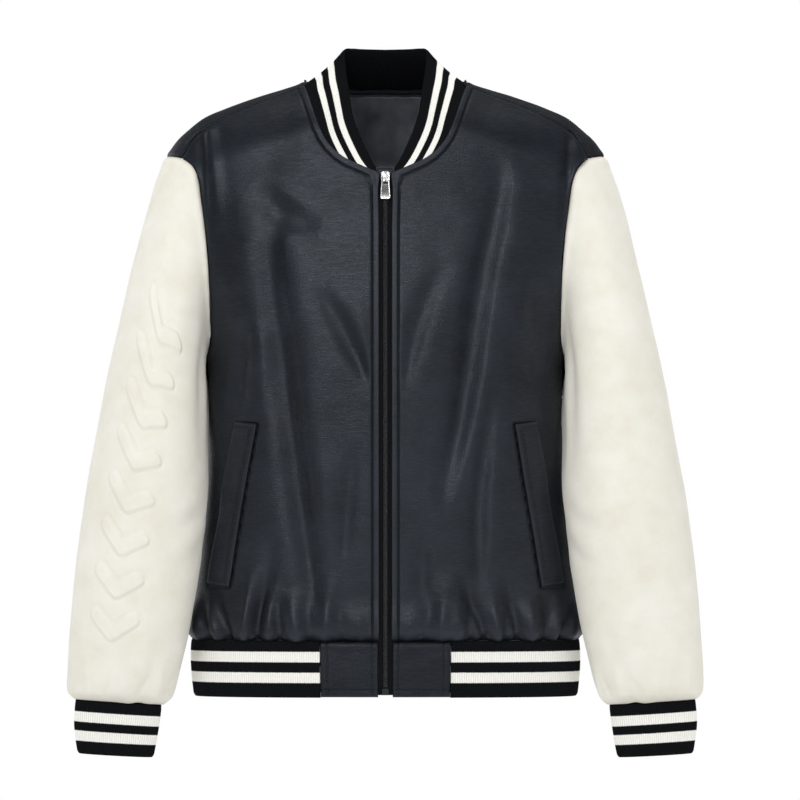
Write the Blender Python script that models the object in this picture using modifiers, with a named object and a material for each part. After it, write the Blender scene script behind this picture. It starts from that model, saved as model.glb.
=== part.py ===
"""A varsity jacket, filled out as if worn, with its zip closed.

The jacket faces -Y. Its origin is between the two points where the collar meets the shoulder ridges.
All sizes are in millimetres until MM turns them into metres. Left and right are the wearer's.
"""

import math

import bpy
import numpy as np
from mathutils import Vector

MM = 0.001

LEATHER = 2.0
LINING = 1.0
RIB = 3.0
TAPE = 1.0
SEAM_GAP = 0.3

ROLL = 62.0  # radius over which the cloth turns over the shoulder ridge
HEM_SEAM = -617.0  # height where the fronts and back meet the hem band
UNDERARM = -300.0
ZIP_OPENING = 7.0  # from the centre line to each front's edge
TAB_END = 71.0
NECK_CORNER = 7  # row of NECKLINE where the shoulder seam starts
SEAM_COLUMNS = 10  # columns between that corner and the armhole

# Sections of the torso: height, half width, depth of the front, depth of the back, squareness.
TORSO = (
    (-617, 215.5, 84, 80, 2.6),
    (-604, 218, 89, 85, 2.5),
    (-565, 211, 93, 90, 2.45),
    (-510, 205, 100, 97, 2.4),
    (-455, 200, 107, 104, 2.35),
    (-380, 197, 114, 110, 2.3),
    (-300, 199, 119, 115, 2.3),
    (-250, 215, 120, 117, 2.3),
    (-200, 236, 117, 118, 2.3),
    (-150, 248, 111, 117, 2.3),
    (-100, 256, 101, 112, 2.3),
    (-50, 260, 91, 102, 2.3),
    (20, 262, 80, 90, 2.3),
)
LEVELS = (-617, -604, -575, -540, -500, -450, -400, -350, -300)

# Sections of the hem band, in the same columns.
HEM = (
    (-678.4, 212, 80, 76, 2.6),
    (-648, 214, 82, 78, 2.6),
    (-617.6, 214.5, 82.5, 78.5, 2.6),
)

# The shoulder ridge, seen from the front: distance from the centre, height.
RIDGE = (
    (0, 16),
    (60, 9),
    (88, 0.5),
    (95, -2),
    (143, -17),
    (179, -30),
    (204, -42),
    (216, -52),
    (234, -70),
    (242.5, -82.5),
    (256, -104),
)

# The shoulder seam, which lies a little way down the front: distance from the centre, height.
SHOULDER_SEAM = (
    (89.5, -5),
    (96.6, -8),
    (146, -27),
    (191, -48.5),
    (210, -60.5),
    (225, -85.6),
)

# The armhole: angle from its top, distance of its front from the centre, height.
ARMHOLE = (
    (0, 242.5, -82.5),
    (15, 235.5, -83.2),
    (30, 225, -85.6),
    (45, 213, -95),
    (60, 206.5, -111),
    (75, 202, -138),
    (90, 197.5, -168),
    (105, 194, -205),
    (120, 192.7, -240),
    (135, 192.7, -265),
    (150, 193.5, -284),
    (165, 196.5, -296),
    (180, 199, -300),
)
BACK_WIDER = 5.0  # the back is this much wider than the front across the armholes
FRONT_ARMHOLE_TOP = 30  # angle at which the shoulder seam meets the armhole

# The neckline and the collar's top edge, from the zip to the centre back.
# Seam: distance from the centre, height, 1 on the front or -1 on the back. Top edge: x, y, z.
NECKLINE = (
    (8, -102.5, 1, 11, -94.5, -96),
    (29, -93.5, 1, 20, -82, -78.5),
    (48, -84, 1, 29, -69.5, -58),
    (63, -69.5, 1, 35.2, -59.5, -40),
    (72.5, -52, 1, 38.3, -51, -24),
    (80, -31.5, 1, 40.6, -39, -8),
    (85.5, -15, 1, 43.4, -21, 8),
    (89.5, -5, 1, 45.6, -4, 26),
    (88.5, 0.1, -1, 45.6, 8, 37),
    (76, 1.6, -1, 39, 18, 38.4),
    (58, -1.3, -1, 28, 23.5, 38),
    (30, -2, -1, 14, 26.5, 37.7),
    (0, -1.5, -1, 0, 27.5, 37.5),
)
COLLAR_SAG = 2.5  # how far the band dips between its two edges
COLLAR_END = 11.0  # from the centre line to each end of the collar

# Rings of a sleeve: outermost x, z, innermost x, z, centre y, half depth, share of the armhole's shape.
SLEEVE = (
    (242.5, -82.5, 199, -300, 0, 75, 1),
    (249, -97, 200, -308, -5, 75, 0.85),
    (256.5, -118, 199.5, -319, -12, 74.5, 0.66),
    (265.5, -150, 198, -334, -21, 73.5, 0.44),
    (276.5, -195, 196, -355, -32, 72, 0.22),
    (289.5, -250, 195.5, -384, -43, 70, 0.07),
    (304, -315, 198, -422, -51, 67, 0),
    (317, -385, 202, -465, -57, 64, 0),
    (330, -455, 207, -511, -60, 60.5, 0),
    (339.5, -525, 212, -560, -61, 56, 0),
    (346, -590, 217.5, -609, -60, 50, 0),
    (349.5, -640, 226, -648, -58, 42.5, 0),
    (349.5, -669, 234, -674.5, -57, 34, 0),
    (346, -677.5, 239, -683, -56, 26, 0),
    (341.5, -681, 244.5, -687, -56, 20, 0),
)

# Rings of a cuff, in the same columns without the last.
CUFF = (
    (341, -681.8, 246.5, -687.8, -56, 18.5),
    (341.5, -710, 251, -716, -56, 19),
    (338.5, -740, 255.5, -744.5, -56, 18),
)

# Corners of a pocket welt: distance from the centre, height.
WELT_TOP = ((140.5, -378), (165.5, -375))
WELT_FOOT = ((171, -558), (196, -553.5))
WELT_PROUD = 3.2

ZIP_TOP = -104.0
ZIP_FOOT = -676.0
CHAIN_TOP = -114.6
BOX_TOP = -669.0
GUARD_TOP = -95.0

LINING_INSET = 4.5
NECK_TAPE_INSET = 2.6

HEAD_CENTRE = -107.8  # height of the middle of the zip's slider
SLIDER = (5.25, 6.2, 2.2)  # half width, half height, how far it stands in front of the jacket's face
BRIDGE_RISE = 3.6
PULL_THICKNESS = 1.5


def along(table, place):
    """The table's other columns at a place in its first one, on a smooth curve through its rows."""
    rows = np.asarray(table, float)
    keys, values = rows[:, 0], rows[:, 1:]
    slopes = np.gradient(values, keys, axis=0)
    place = np.clip(np.asarray(place, float), keys[0], keys[-1])
    row = np.clip(np.searchsorted(keys, place) - 1, 0, len(keys) - 2)
    span = (keys[row + 1] - keys[row])[..., None]
    part = (place - keys[row])[..., None] / span
    ease = part * part * (3 - 2 * part)
    blend = values[row] * (1 - ease) + values[row + 1] * ease
    start = part * (1 - part) ** 2
    end = -part * part * (1 - part)
    blend = blend + span * (slopes[row] * start + slopes[row + 1] * end)
    return np.moveaxis(blend, -1, 0)


def ridge_height(x):
    return along(RIDGE, np.abs(x))[0]


def fall_of(x, z, side):
    """Distance over the cloth from the ridge to a height: plus down the front, minus down the back."""
    drop = np.maximum(ridge_height(x) - z, 0)
    rolled = ROLL * np.arccos(np.clip(1 - drop / ROLL, 0, 1))
    return side * np.where(drop < ROLL, rolled, drop + ROLL * (math.pi / 2 - 1))


def turn_of(x, z):
    """Angle round the torso's section, from its centre to x."""
    half_width, _, _, square = along(TORSO, z)
    return np.arcsin(np.clip(x / half_width, 0, 1) ** (square / 2))


def torso(turn, fall):
    """Points of the torso: a squared ellipse at each height, rolled over the ridge of the shoulders."""
    turn, fall = np.broadcast_arrays(np.asarray(turn, float), np.asarray(fall, float))
    roll = np.minimum(np.abs(fall) / ROLL, math.pi / 2)
    past = np.maximum(np.abs(fall) - ROLL * math.pi / 2, 0)
    drop = ROLL * (1 - np.cos(roll)) + past
    x = np.zeros_like(turn)
    for _ in range(14):
        z = ridge_height(x) - drop
        half_width, front, back, square = along(TORSO, z)
        x = half_width * np.sign(turn) * np.abs(np.sin(turn)) ** (2 / square)
    depth = np.where(fall > 0, -front, back) * np.abs(np.cos(turn)) ** (2 / square)
    ridge_y = 8 - 0.06 * np.abs(x)
    y = ridge_y + (depth - ridge_y) * np.sin(roll)
    return np.stack((x, y, z), axis=-1)


def torso_at(turn, fall, out):
    """Points of the torso moved out from its face, or in where out is negative."""
    across = torso(turn + 0.002, fall) - torso(turn - 0.002, fall)
    down = torso(turn, fall + 0.5) - torso(turn, fall - 0.5)
    normal = np.cross(down, across)
    return torso(turn, fall) + out * normal / np.linalg.norm(normal, axis=-1, keepdims=True)


def level(turn, z, side):
    """The fall that keeps a row of the torso level at height z."""
    half_width, _, _, square = along(TORSO, z)
    return fall_of(half_width * np.sin(turn) ** (2 / square), z, side)


def hoop(turn, z, table):
    """Points of a level section, with turn running from the centre front to the centre back."""
    half_width, front, back, square = along(table, z)
    cosine = np.cos(turn)
    x = half_width * np.abs(np.sin(turn)) ** (2 / square)
    y = np.where(cosine > 0, -front, back) * np.abs(cosine) ** (2 / square)
    return np.stack(np.broadcast_arrays(x, y, z), axis=-1)


def shoulder_seam():
    """Turn and fall of the shoulder seam, from the neck to the armhole."""
    x = np.linspace(SHOULDER_SEAM[0][0], SHOULDER_SEAM[-1][0], SEAM_COLUMNS + 1)
    z = along(SHOULDER_SEAM, x)[0]
    return turn_of(x, z), fall_of(x, z, 1)


def armhole(angles, side):
    """Turn and fall of the armhole on the front (side 1) or the back (side -1)."""
    x, z = along(ARMHOLE, angles)
    if side < 0:
        x = x + BACK_WIDER * np.sin(np.radians(angles))
    return turn_of(x, z), fall_of(x, z, side)


def panel(inner, outer, top, shares, side):
    """Grid of a front or back: level rows below the underarm, then rows that bend towards the top edge.

    inner and outer are (turn, fall) of each row's ends, and shares are the columns' places, 0 to 1.
    """
    rows = []
    for z in LEVELS:
        turn = inner[0][len(rows)] + (outer[0][len(rows)] - inner[0][len(rows)]) * shares
        rows.append(torso(turn, level(turn, z, side)))
    first, last = len(LEVELS) - 1, len(inner[0]) - 1
    low_turn = inner[0][first] + (outer[0][first] - inner[0][first]) * shares
    low_line = inner[1][first] + (outer[1][first] - inner[1][first]) * shares
    low_bow = level(low_turn, LEVELS[-1], side) - low_line
    top_bow = top[1] - (inner[1][last] + (outer[1][last] - inner[1][last]) * shares)
    top_shift = top[0] - (inner[0][last] + (outer[0][last] - inner[0][last]) * shares)
    for row in range(first + 1, last + 1):
        share = ((row - first) / (last - first)) ** 2
        turn = inner[0][row] + (outer[0][row] - inner[0][row]) * shares + share * top_shift
        fall = inner[1][row] + (outer[1][row] - inner[1][row]) * shares
        rows.append(torso(turn, fall + (1 - share) * low_bow + share * top_bow))
    return np.array(rows)


def draw_back(edge, inner, gap=SEAM_GAP):
    """The edge's points, moved by a gap towards the points inside it."""
    way = inner - edge
    return edge + gap * way / np.linalg.norm(way, axis=-1, keepdims=True)


def front_grid():
    """A front: its inner edge follows the zip and then the neckline, its outer one the side and armhole."""
    neck = np.array(NECKLINE[: NECK_CORNER + 1], float)
    low = np.array(LEVELS, float)
    zip_rows = np.array((-232.0, -165.0))
    inner_x = np.concatenate((np.full(len(low) + len(zip_rows), ZIP_OPENING), neck[:, 0]))
    inner_z = np.concatenate((low, zip_rows, neck[:, 1]))
    inner = turn_of(inner_x, inner_z), fall_of(inner_x, inner_z, 1)
    rise = armhole(np.arange(165, FRONT_ARMHOLE_TOP - 1, -15), 1)
    side = np.full(len(low), math.pi / 2), level(np.full(len(low), math.pi / 2), low, 1)
    outer = np.concatenate((side[0], rise[0])), np.concatenate((side[1], rise[1]))
    top = shoulder_seam()
    shares = np.linspace(0, 1, SEAM_COLUMNS + 1)
    return panel(inner, outer, top, shares, 1)


def back_grid():
    """Half of the back, from its centre line to the side, up and over the ridge to the shoulder seam."""
    neck = np.array(NECKLINE[NECK_CORNER:][::-1], float)
    seam = shoulder_seam()
    neck_turn = turn_of(neck[:, 0], neck[:, 1])
    neck_fall = fall_of(neck[:, 0], neck[:, 1], neck[:, 2])
    top = np.concatenate((neck_turn[:-1], seam[0])), np.concatenate((neck_fall[:-1], seam[1]))
    low = np.array(LEVELS, float)
    rise = armhole(np.arange(165, -1, -15), -1)
    over = armhole(np.arange(15, FRONT_ARMHOLE_TOP + 1, 15), 1)
    side = np.full(len(low), math.pi / 2), level(np.full(len(low), math.pi / 2), low, -1)
    outer = tuple(np.concatenate((side[i], rise[i], over[i])) for i in (0, 1))
    upper = len(outer[0]) - len(low)
    climb = 1 - np.linspace(1, 0, upper + 1)[1:] ** 1.4
    low_fall = level(0.0, UNDERARM, -1)
    centre = low_fall + (top[1][0] - low_fall) * climb
    inner = np.zeros(len(outer[0])), np.concatenate((level(np.zeros(len(low)), low, -1), centre))
    return panel(inner, outer, top, top[0] / top[0][-1], -1)


def armhole_loop():
    """The armhole's points all round, from its top, down the front and up the back."""
    angles = np.arange(0, 360, 15)
    folded = np.where(angles > 180, 360 - angles, angles)
    front, back = torso(*armhole(folded, 1)), torso(*armhole(folded, -1))
    return np.where((angles > 180)[:, None], back, front)


def ring(row, angles):
    """An ellipse through a sleeve's outermost and innermost points, with its front at a quarter turn."""
    outer_x, outer_z, inner_x, inner_z, centre_y, half_depth = row[:6]
    across = np.cos(angles) / 2
    x = (outer_x + inner_x) / 2 + (outer_x - inner_x) * across
    z = (outer_z + inner_z) / 2 + (outer_z - inner_z) * across
    return np.stack((x, centre_y - half_depth * np.sin(angles), z), axis=-1)


def sleeve_grid():
    """Rings from the armhole, whose own shape fades out over the first few, to the cuff."""
    angles = np.radians(np.arange(0, 360, 15))
    loop = armhole_loop()
    own_shape = loop - ring(SLEEVE[0], angles)
    rings = np.array([ring(row, angles) + row[6] * own_shape for row in SLEEVE])
    low = ((1 - np.cos(angles)) / 2)[:, None]
    way = rings[1] - loop
    way = way / np.linalg.norm(way, axis=-1, keepdims=True) * (1 - low) + low * np.array((1, 0, 0))
    rings[0] = loop + 0.5 * way
    return rings


def collar_grid():
    """The standing band, ruled from just inside the neckline to its top edge, with a slight sag."""
    rows = np.array(NECKLINE, float)
    turn, fall = turn_of(rows[:, 0], rows[:, 1]), fall_of(rows[:, 0], rows[:, 1], rows[:, 2])
    seam = torso_at(turn, fall, -LEATHER - SEAM_GAP)
    top = rows[:, 3:]
    seam[0, 0] = COLLAR_END
    seam = draw_back(seam, top)
    run = np.gradient(top, axis=0)
    out = np.cross(run, top - seam)
    out[-1, 0] = 0
    out /= np.linalg.norm(out, axis=-1, keepdims=True)
    out *= np.sign(out[:, :1] * 2 + out[:, 2:])
    shares = np.array((0, 0.25, 0.5, 0.75, 1))
    sag = COLLAR_SAG * 4 * shares * (1 - shares)
    length = np.linalg.norm(top - seam, axis=-1) / 59
    rise = shares[:, None, None]
    return seam + (top - seam) * rise - out * (sag[:, None] * length)[..., None]


def front_line(z):
    """y of the jacket's face at the centre front."""
    z = np.asarray(z, float)
    return np.where(z > HEM_SEAM, -along(TORSO, z)[1], -along(HEM, z)[1] - 0.5)


def strip(x_range, z_rows, behind):
    """Grid of a flat strip along the zip, at a distance behind the jacket's face."""
    z = np.array(z_rows, float)
    y = front_line(z) + behind
    return np.array([[(x, y[i], z[i]) for x in x_range] for i in range(len(z))])


def material(name, colour, roughness, metallic=0.0):
    made = bpy.data.materials.new(name)
    made.use_nodes = True
    shader = made.node_tree.nodes["Principled BSDF"]
    shader.inputs["Base Color"].default_value = (*colour, 1)
    shader.inputs["Roughness"].default_value = roughness
    shader.inputs["Metallic"].default_value = metallic
    made.diffuse_color = (*colour, 1)
    return made


def add(name, mesh, collection):
    made = bpy.data.objects.new(name, mesh)
    collection.objects.link(made)
    return made


def cloth(name, points, thickness, finish, turned=False, closed=False, mirrored=False):
    """A wall of cloth behind a grid of points.

    Its face is the side from which rows run up and columns to the right, or the other side if turned.
    """
    rows, columns = points.shape[:2]
    spans = columns if closed else columns - 1
    faces = []
    for row in range(rows - 1):
        for column in range(spans):
            after = (column + 1) % columns
            a, b = row * columns + column, row * columns + after
            face = (a, b, b + columns, a + columns)
            faces.append(face[::-1] if turned else face)
    mesh = bpy.data.meshes.new(name)
    mesh.from_pydata((points.reshape(-1, 3) * MM).tolist(), [], faces)
    mesh.materials.append(finish)
    mesh.shade_smooth()
    made = add(name, mesh, jacket)
    if mirrored:
        mirror = made.modifiers.new("mirror", "MIRROR")
        mirror.merge_threshold = 0.0001
    wall = made.modifiers.new("wall", "SOLIDIFY")
    wall.thickness = thickness * MM
    wall.offset = -1
    wall.use_even_offset = True
    return made


def handed(points, side):
    """The grid on the wearer's left (side 1) or right (side -1)."""
    return points * np.array((side, 1, 1))


def build_body():
    """Fronts, back and lining. Their edges stop short of the seams that they share."""
    front = front_grid()
    front[:, -1] = draw_back(front[:, -1], front[:, -2])
    front[-1] = draw_back(front[-1], front[-2], 0.45)
    for name, side in (("front_left", 1), ("front_right", -1)):
        cloth(name, handed(front, side), LEATHER, leather, turned=side < 0)
    whole = back_grid()
    back = whole.copy()
    seam = slice(len(NECKLINE) - NECK_CORNER - 1, None)
    back[:, -1] = draw_back(whole[:, -1], whole[:, -2])
    back[-1, seam] = draw_back(whole[-1, seam], whole[-2, seam], 0.45)
    cloth("back", back, LEATHER, leather, turned=True, mirrored=True)


def build_lining():
    """The back's lining, a little inside it, from the neck tape to the hem."""
    z = np.array((-612, -560, -500, -430, -360, -310, -250, -190, -140, -100, -70, -45, -26, -14), float)
    turns = np.radians(np.linspace(0, 1, 9)[None] * np.interp(z, (-300, -250, -100), (86, 56, 46))[:, None])
    fall = level(turns, z[:, None] * np.ones_like(turns), -1)
    cloth("back_lining", torso_at(turns, fall, -LINING_INSET), LINING, satin, turned=True, mirrored=True)


def build_neck_tape():
    """The tape over the back neck seam, inside, between the shoulder ridges."""
    rows = np.array(NECKLINE[NECK_CORNER + 1 :], float)
    turn, fall = turn_of(rows[:, 0], rows[:, 1]), fall_of(rows[:, 0], rows[:, 1], -1)
    below = np.array((4.0, 11.0))[:, None]
    grid = torso_at(turn + 0 * below, fall - below, -NECK_TAPE_INSET)
    cloth("neck_tape", grid, TAPE, leather, turned=True, mirrored=True)


def build_sleeves():
    sleeve = sleeve_grid()
    angles = np.radians(np.arange(0, 360, 15))
    cuff = np.array([ring(row, angles) for row in CUFF])
    for name, side in (("left", 1), ("right", -1)):
        turned = side < 0
        cloth("sleeve_" + name, handed(sleeve, side), LEATHER, cream, turned=turned, closed=True)
        cloth("cuff_" + name, handed(cuff, side), RIB, rib, turned=turned, closed=True)


def build_welts():
    """Pocket welts, which follow the fronts and stand proud of them."""
    heights = np.array((WELT_FOOT[0][1], *[z for z in LEVELS if -558 < z < -378], WELT_TOP[0][1]), float)
    steps = np.interp(heights, (WELT_FOOT[0][1], WELT_TOP[0][1]), (0, 1))[:, None, None]
    across = np.linspace(0, 1, 3)[:, None]
    top = (1 - across) * np.array(WELT_TOP[0]) + across * np.array(WELT_TOP[1])
    foot = (1 - across) * np.array(WELT_FOOT[0]) + across * np.array(WELT_FOOT[1])
    flat = foot * (1 - steps) + top * steps
    turn, fall = turn_of(flat[..., 0], flat[..., 1]), fall_of(flat[..., 0], flat[..., 1], 1)
    welt = torso_at(turn, fall, WELT_PROUD)
    for name, side in (("welt_left", 1), ("welt_right", -1)):
        cloth(name, handed(welt, side), LEATHER, leather, turned=side < 0)


def build_hem():
    """The band, and the tabs between it and the zip."""
    z = np.array([row[0] for row in HEM], float)[:, None]
    square = HEM[0][-1] / 2
    tab_turns = np.arcsin((np.array((ZIP_OPENING + 1, 40, TAB_END)) / HEM[0][1]) ** square)
    start = math.asin(((TAB_END + SEAM_GAP) / HEM[0][1]) ** square)
    band_turns = np.linspace(start, math.pi, 19)
    cloth("hem_rib", hoop(band_turns, z, HEM)[:, ::-1], RIB, rib, turned=True, mirrored=True)
    tab = hoop(tab_turns, z, HEM) - np.array((0, 0.5, 0))
    for name, side in (("hem_tab_left", 1), ("hem_tab_right", -1)):
        cloth(name, handed(tab, side), LEATHER, leather, turned=side < 0)


def build_zip():
    """Tapes, teeth, foot and the strip behind them, all behind the jacket's face."""
    rows = (HEM[-1][0], *LEVELS[1:], -232, -165)
    tape = strip((2.9, 12.5), (ZIP_FOOT, *rows, ZIP_TOP), LEATHER + SEAM_GAP)
    for name, side in (("zip_tape_left", 1), ("zip_tape_right", -1)):
        cloth(name, handed(tape, side), TAPE, woven, turned=side < 0)
    cloth("zip_chain", strip((-2.5, 2.5), (BOX_TOP + 0.4, *rows, CHAIN_TOP), 0.6), 2.9, teeth)
    guard = strip((-10.8, 10.8), (ZIP_FOOT, *rows, -125, GUARD_TOP), LEATHER + TAPE + 1.0)
    cloth("zip_guard", guard, 1.2, leather)
    cloth("zip_box", strip((-3.6, 3.6), (ZIP_FOOT, BOX_TOP), -1.0), 3.0, teeth)


def box(name, low, high, finish, collection, parent, bevel=0.0):
    """A block between two corners in the parent's own frame."""
    bpy.ops.mesh.primitive_cube_add(size=1)
    made = bpy.context.object
    made.name = name
    for holder in list(made.users_collection):
        holder.objects.unlink(made)
    collection.objects.link(made)
    low, high = Vector(low) * MM, Vector(high) * MM
    size = high - low
    for vertex in made.data.vertices:
        vertex.co = Vector(a * b for a, b in zip(vertex.co, size)) + (low + high) / 2
    made.parent = parent
    made.data.materials.append(finish)
    if bevel:
        rounding = made.modifiers.new("rounding", "BEVEL")
        rounding.width = bevel * MM
        rounding.segments = 2
    return made


def boolean(target, other, operation):
    cut = target.modifiers.new(operation.lower(), "BOOLEAN")
    cut.operation = operation
    cut.object = other
    other.hide_render = True
    other.display_type = "WIRE"


def build_zip_head():
    """Slider and pull in the frame of the sloping front: the pull's top bar hangs inside the slider's bridge."""
    head = bpy.data.objects.new("zip_head", None)
    jacket.objects.link(head)
    face = float(front_line(HEAD_CENTRE))
    lean = math.atan2(float(front_line(HEAD_CENTRE + 20)) - float(front_line(HEAD_CENTRE - 20)), 40)
    head.location = (0, face * MM, HEAD_CENTRE * MM)
    head.rotation_euler = (-lean, 0, 0)
    half_width, half_height, front = SLIDER
    slider = box("zip_slider", (-half_width, -front, -half_height), (half_width, 1.7, half_height), nickel,
                 jacket, head, bevel=1.2)
    bridge = box("bridge", (-1.3, -front - BRIDGE_RISE, -5.1), (1.3, -front + 0.6, 5.4), nickel, cutters, head,
                 bevel=0.5)
    window = box("bridge_window", (-3, -front - BRIDGE_RISE + 1.0, -0.4), (3, -front, 3.6), nickel, cutters, head)
    boolean(slider, bridge, "UNION")
    boolean(slider, window, "DIFFERENCE")
    hinge = bpy.data.objects.new("pull_hinge", None)
    jacket.objects.link(hinge)
    hinge.parent = head
    hinge.location = Vector((0, -front - (BRIDGE_RISE - 1.0) / 2, 1.6)) * MM
    build_pull(hinge)


def build_pull(hinge):
    """A flat tab with a slot below its top bar, which lies on the hinge's axis."""
    outline = bpy.data.curves.new("zip_pull", "CURVE")
    outline.dimensions = "2D"
    outline.fill_mode = "BOTH"
    outline.extrude = PULL_THICKNESS / 2 * MM
    edge = ((-4.0, 0.8), (4.0, 0.8), (4.7, 0), (4.4, -9), (5.5, -26), (4.7, -27), (-4.7, -27), (-5.5, -26),
            (-4.4, -9), (-4.7, 0))
    slot = ((-2.4, -0.8), (2.4, -0.8), (2.4, -10), (-2.4, -10))
    for corners in (edge, slot):
        spline = outline.splines.new("POLY")
        spline.points.add(len(corners) - 1)
        spline.use_cyclic_u = True
        for point, (x, y) in zip(spline.points, corners):
            point.co = (x * MM, y * MM, 0, 1)
    outline.materials.append(nickel)
    pull = add("zip_pull", outline, jacket)
    pull.parent = hinge
    pull.rotation_euler = (math.pi / 2, 0, 0)


for old in list(bpy.data.objects):
    bpy.data.objects.remove(old)
jacket = bpy.data.collections.new("varsity_jacket")
bpy.context.scene.collection.children.link(jacket)
cutters = bpy.data.collections.new("cutters")
bpy.context.scene.collection.children.link(cutters)

leather = material("body_leather", (0.024, 0.030, 0.043), 0.5)
cream = material("sleeve_leather", (0.84, 0.82, 0.74), 0.6)
rib = material("rib_knit", (0.006, 0.006, 0.007), 0.9)
satin = material("lining", (0.035, 0.042, 0.055), 0.4)
woven = material("zip_tape", (0.008, 0.009, 0.011), 0.9)
teeth = material("zip_teeth", (0.012, 0.012, 0.014), 0.5)
nickel = material("zip_metal", (0.75, 0.75, 0.74), 0.25, 1.0)

build_body()
build_lining()
build_neck_tape()
build_sleeves()
cloth("collar", collar_grid(), RIB, rib, mirrored=True)
build_welts()
build_hem()
build_zip()
build_zip_head()
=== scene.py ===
"""A varsity jacket, filled out as if worn, with its zip closed.

The jacket faces -Y, and its origin lies between the two points where the collar meets the shoulder ridges.
Sizes are in millimetres until MM turns them into metres. Left and right are the wearer's.
"""

import math

import bpy
import numpy as np
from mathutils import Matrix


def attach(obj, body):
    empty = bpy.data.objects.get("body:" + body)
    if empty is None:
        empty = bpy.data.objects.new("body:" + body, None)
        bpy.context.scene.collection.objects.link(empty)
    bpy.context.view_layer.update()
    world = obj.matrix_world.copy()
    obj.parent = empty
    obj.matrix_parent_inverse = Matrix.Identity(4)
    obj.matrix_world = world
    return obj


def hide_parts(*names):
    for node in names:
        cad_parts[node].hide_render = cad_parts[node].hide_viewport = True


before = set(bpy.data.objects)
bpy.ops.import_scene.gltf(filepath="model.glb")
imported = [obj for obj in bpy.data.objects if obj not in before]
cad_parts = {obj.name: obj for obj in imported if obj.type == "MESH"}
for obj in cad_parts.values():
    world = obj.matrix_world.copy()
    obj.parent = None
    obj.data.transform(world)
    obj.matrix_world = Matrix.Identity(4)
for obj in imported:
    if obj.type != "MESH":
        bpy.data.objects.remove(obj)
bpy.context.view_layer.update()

MM = 0.001


# The studio: a level camera with a long lens in front of the jacket, large soft lights round it,
# and a plain pale floor well below the cuffs. The light is even, a little stronger from above.

PLANE_Y = -0.06  # plane across which one frame is FRAME_WIDTH wide, in metres
FRAME_WIDTH = 0.88
LENS = 360.0
SENSOR = 36.0

view = bpy.data.cameras.new("studio_camera")
view.lens = LENS
view.sensor_width = SENSOR
view.clip_end = 60
camera = bpy.data.objects.new("studio_camera", view)
camera.location = (0.016, PLANE_Y - FRAME_WIDTH * LENS / SENSOR, -0.352)
camera.rotation_euler = (math.pi / 2, 0, 0)
bpy.context.scene.collection.objects.link(camera)
bpy.context.scene.camera = camera


def soft_light(name, place, aim, size, power):
    """A rectangular area light at a place, turned towards the point that it lights."""
    lamp = bpy.data.lights.new(name, "AREA")
    lamp.shape = "RECTANGLE"
    lamp.size, lamp.size_y = size
    lamp.energy = power
    made = bpy.data.objects.new(name, lamp)
    made.location = place
    way = np.array(aim, float) - np.array(place, float)
    level_run = math.hypot(way[0], way[1])
    made.rotation_euler = (math.atan2(level_run, -way[2]), 0, math.atan2(-way[0], way[1]))
    bpy.context.scene.collection.objects.link(made)


CHEST = (0, 0, -0.35)
soft_light("key", (-1.3, -2.7, 1.6), CHEST, (1.2, 1.2), 27)
soft_light("fill", (1.8, -2.2, 0.1), CHEST, (1.2, 1.6), 7)
soft_light("overhead", (0, 0.2, 2.2), CHEST, (1.6, 1.6), 10)
soft_light("back_key", (1.3, 2.7, 1.6), CHEST, (1.2, 1.2), 27)
soft_light("back_fill", (-1.8, 2.2, 0.1), CHEST, (1.2, 1.6), 7)
# Two panels that only gloss mirrors bring out the folds of the dark leather, in front and behind.
soft_light("gloss_front", (-0.55, -3.6, 0.75), CHEST, (0.9, 0.9), 58)
soft_light("gloss_back", (0.3, 3.6, -0.2), CHEST, (0.9, 0.9), 50)
for name in ("gloss_front", "gloss_back"):
    bpy.data.objects[name].visible_diffuse = False
for name in ("key", "back_key"):
    bpy.data.objects[name].visible_glossy = False

surroundings = bpy.data.worlds.new("studio_white")
surroundings.use_nodes = True
lit = surroundings.node_tree
backdrop = lit.nodes["Background"]
backdrop.inputs["Color"].default_value = (1, 1, 1, 1)
# The walls are white to the eye, bright for soft light on cloth, and dimmer where leather mirrors them.
seen = lit.nodes.new("ShaderNodeLightPath")
strength = None
for ray, share in (("Is Camera Ray", 0.90), ("Is Diffuse Ray", 0.74)):
    step = lit.nodes.new("ShaderNodeMath")
    step.operation = "MULTIPLY_ADD"
    step.inputs[1].default_value = share
    step.inputs[2].default_value = 0.10
    lit.links.new(seen.outputs[ray], step.inputs[0])
    if strength:
        lit.links.new(strength, step.inputs[2])
    strength = step.outputs[0]
lit.links.new(strength, backdrop.inputs["Strength"])
bpy.context.scene.world = surroundings
bpy.context.scene.view_settings.view_transform = "Standard"


# The fronts: two panels of smooth faux leather, 2 mm thick, sewn to the back at the shoulders and sides.
# A narrow raised strip is topstitched along the zip and neckline, and the hem is gathered into the rib.

LEATHER = 2.0
ROLL = 62.0  # radius over which the cloth turns over the shoulder ridge
HEM_SEAM = -617.0
UNDERARM = -300.0
ZIP_OPENING = 7.0  # from the centre line to each front's edge
NECK_CORNER = 7  # row of NECKLINE where the shoulder seam starts
SEAM_COLUMNS = 10
EDGE_STRIP = 7.3  # width of the raised strip along the zip and neckline

# Sections of the torso: height, half width, depth of the front, depth of the back, squareness.
TORSO = (
    (-617, 215.5, 84, 80, 2.6),
    (-604, 218, 89, 85, 2.5),
    (-565, 211, 93, 90, 2.45),
    (-510, 205, 100, 97, 2.4),
    (-455, 200, 107, 104, 2.35),
    (-380, 197, 114, 110, 2.3),
    (-300, 199, 119, 115, 2.3),
    (-250, 215, 120, 117, 2.3),
    (-200, 236, 117, 118, 2.3),
    (-150, 248, 111, 117, 2.3),
    (-100, 256, 101, 112, 2.3),
    (-50, 260, 91, 102, 2.3),
    (20, 262, 80, 90, 2.3),
)
LEVELS = (-617, -604, -575, -540, -500, -450, -400, -350, -300)

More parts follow.
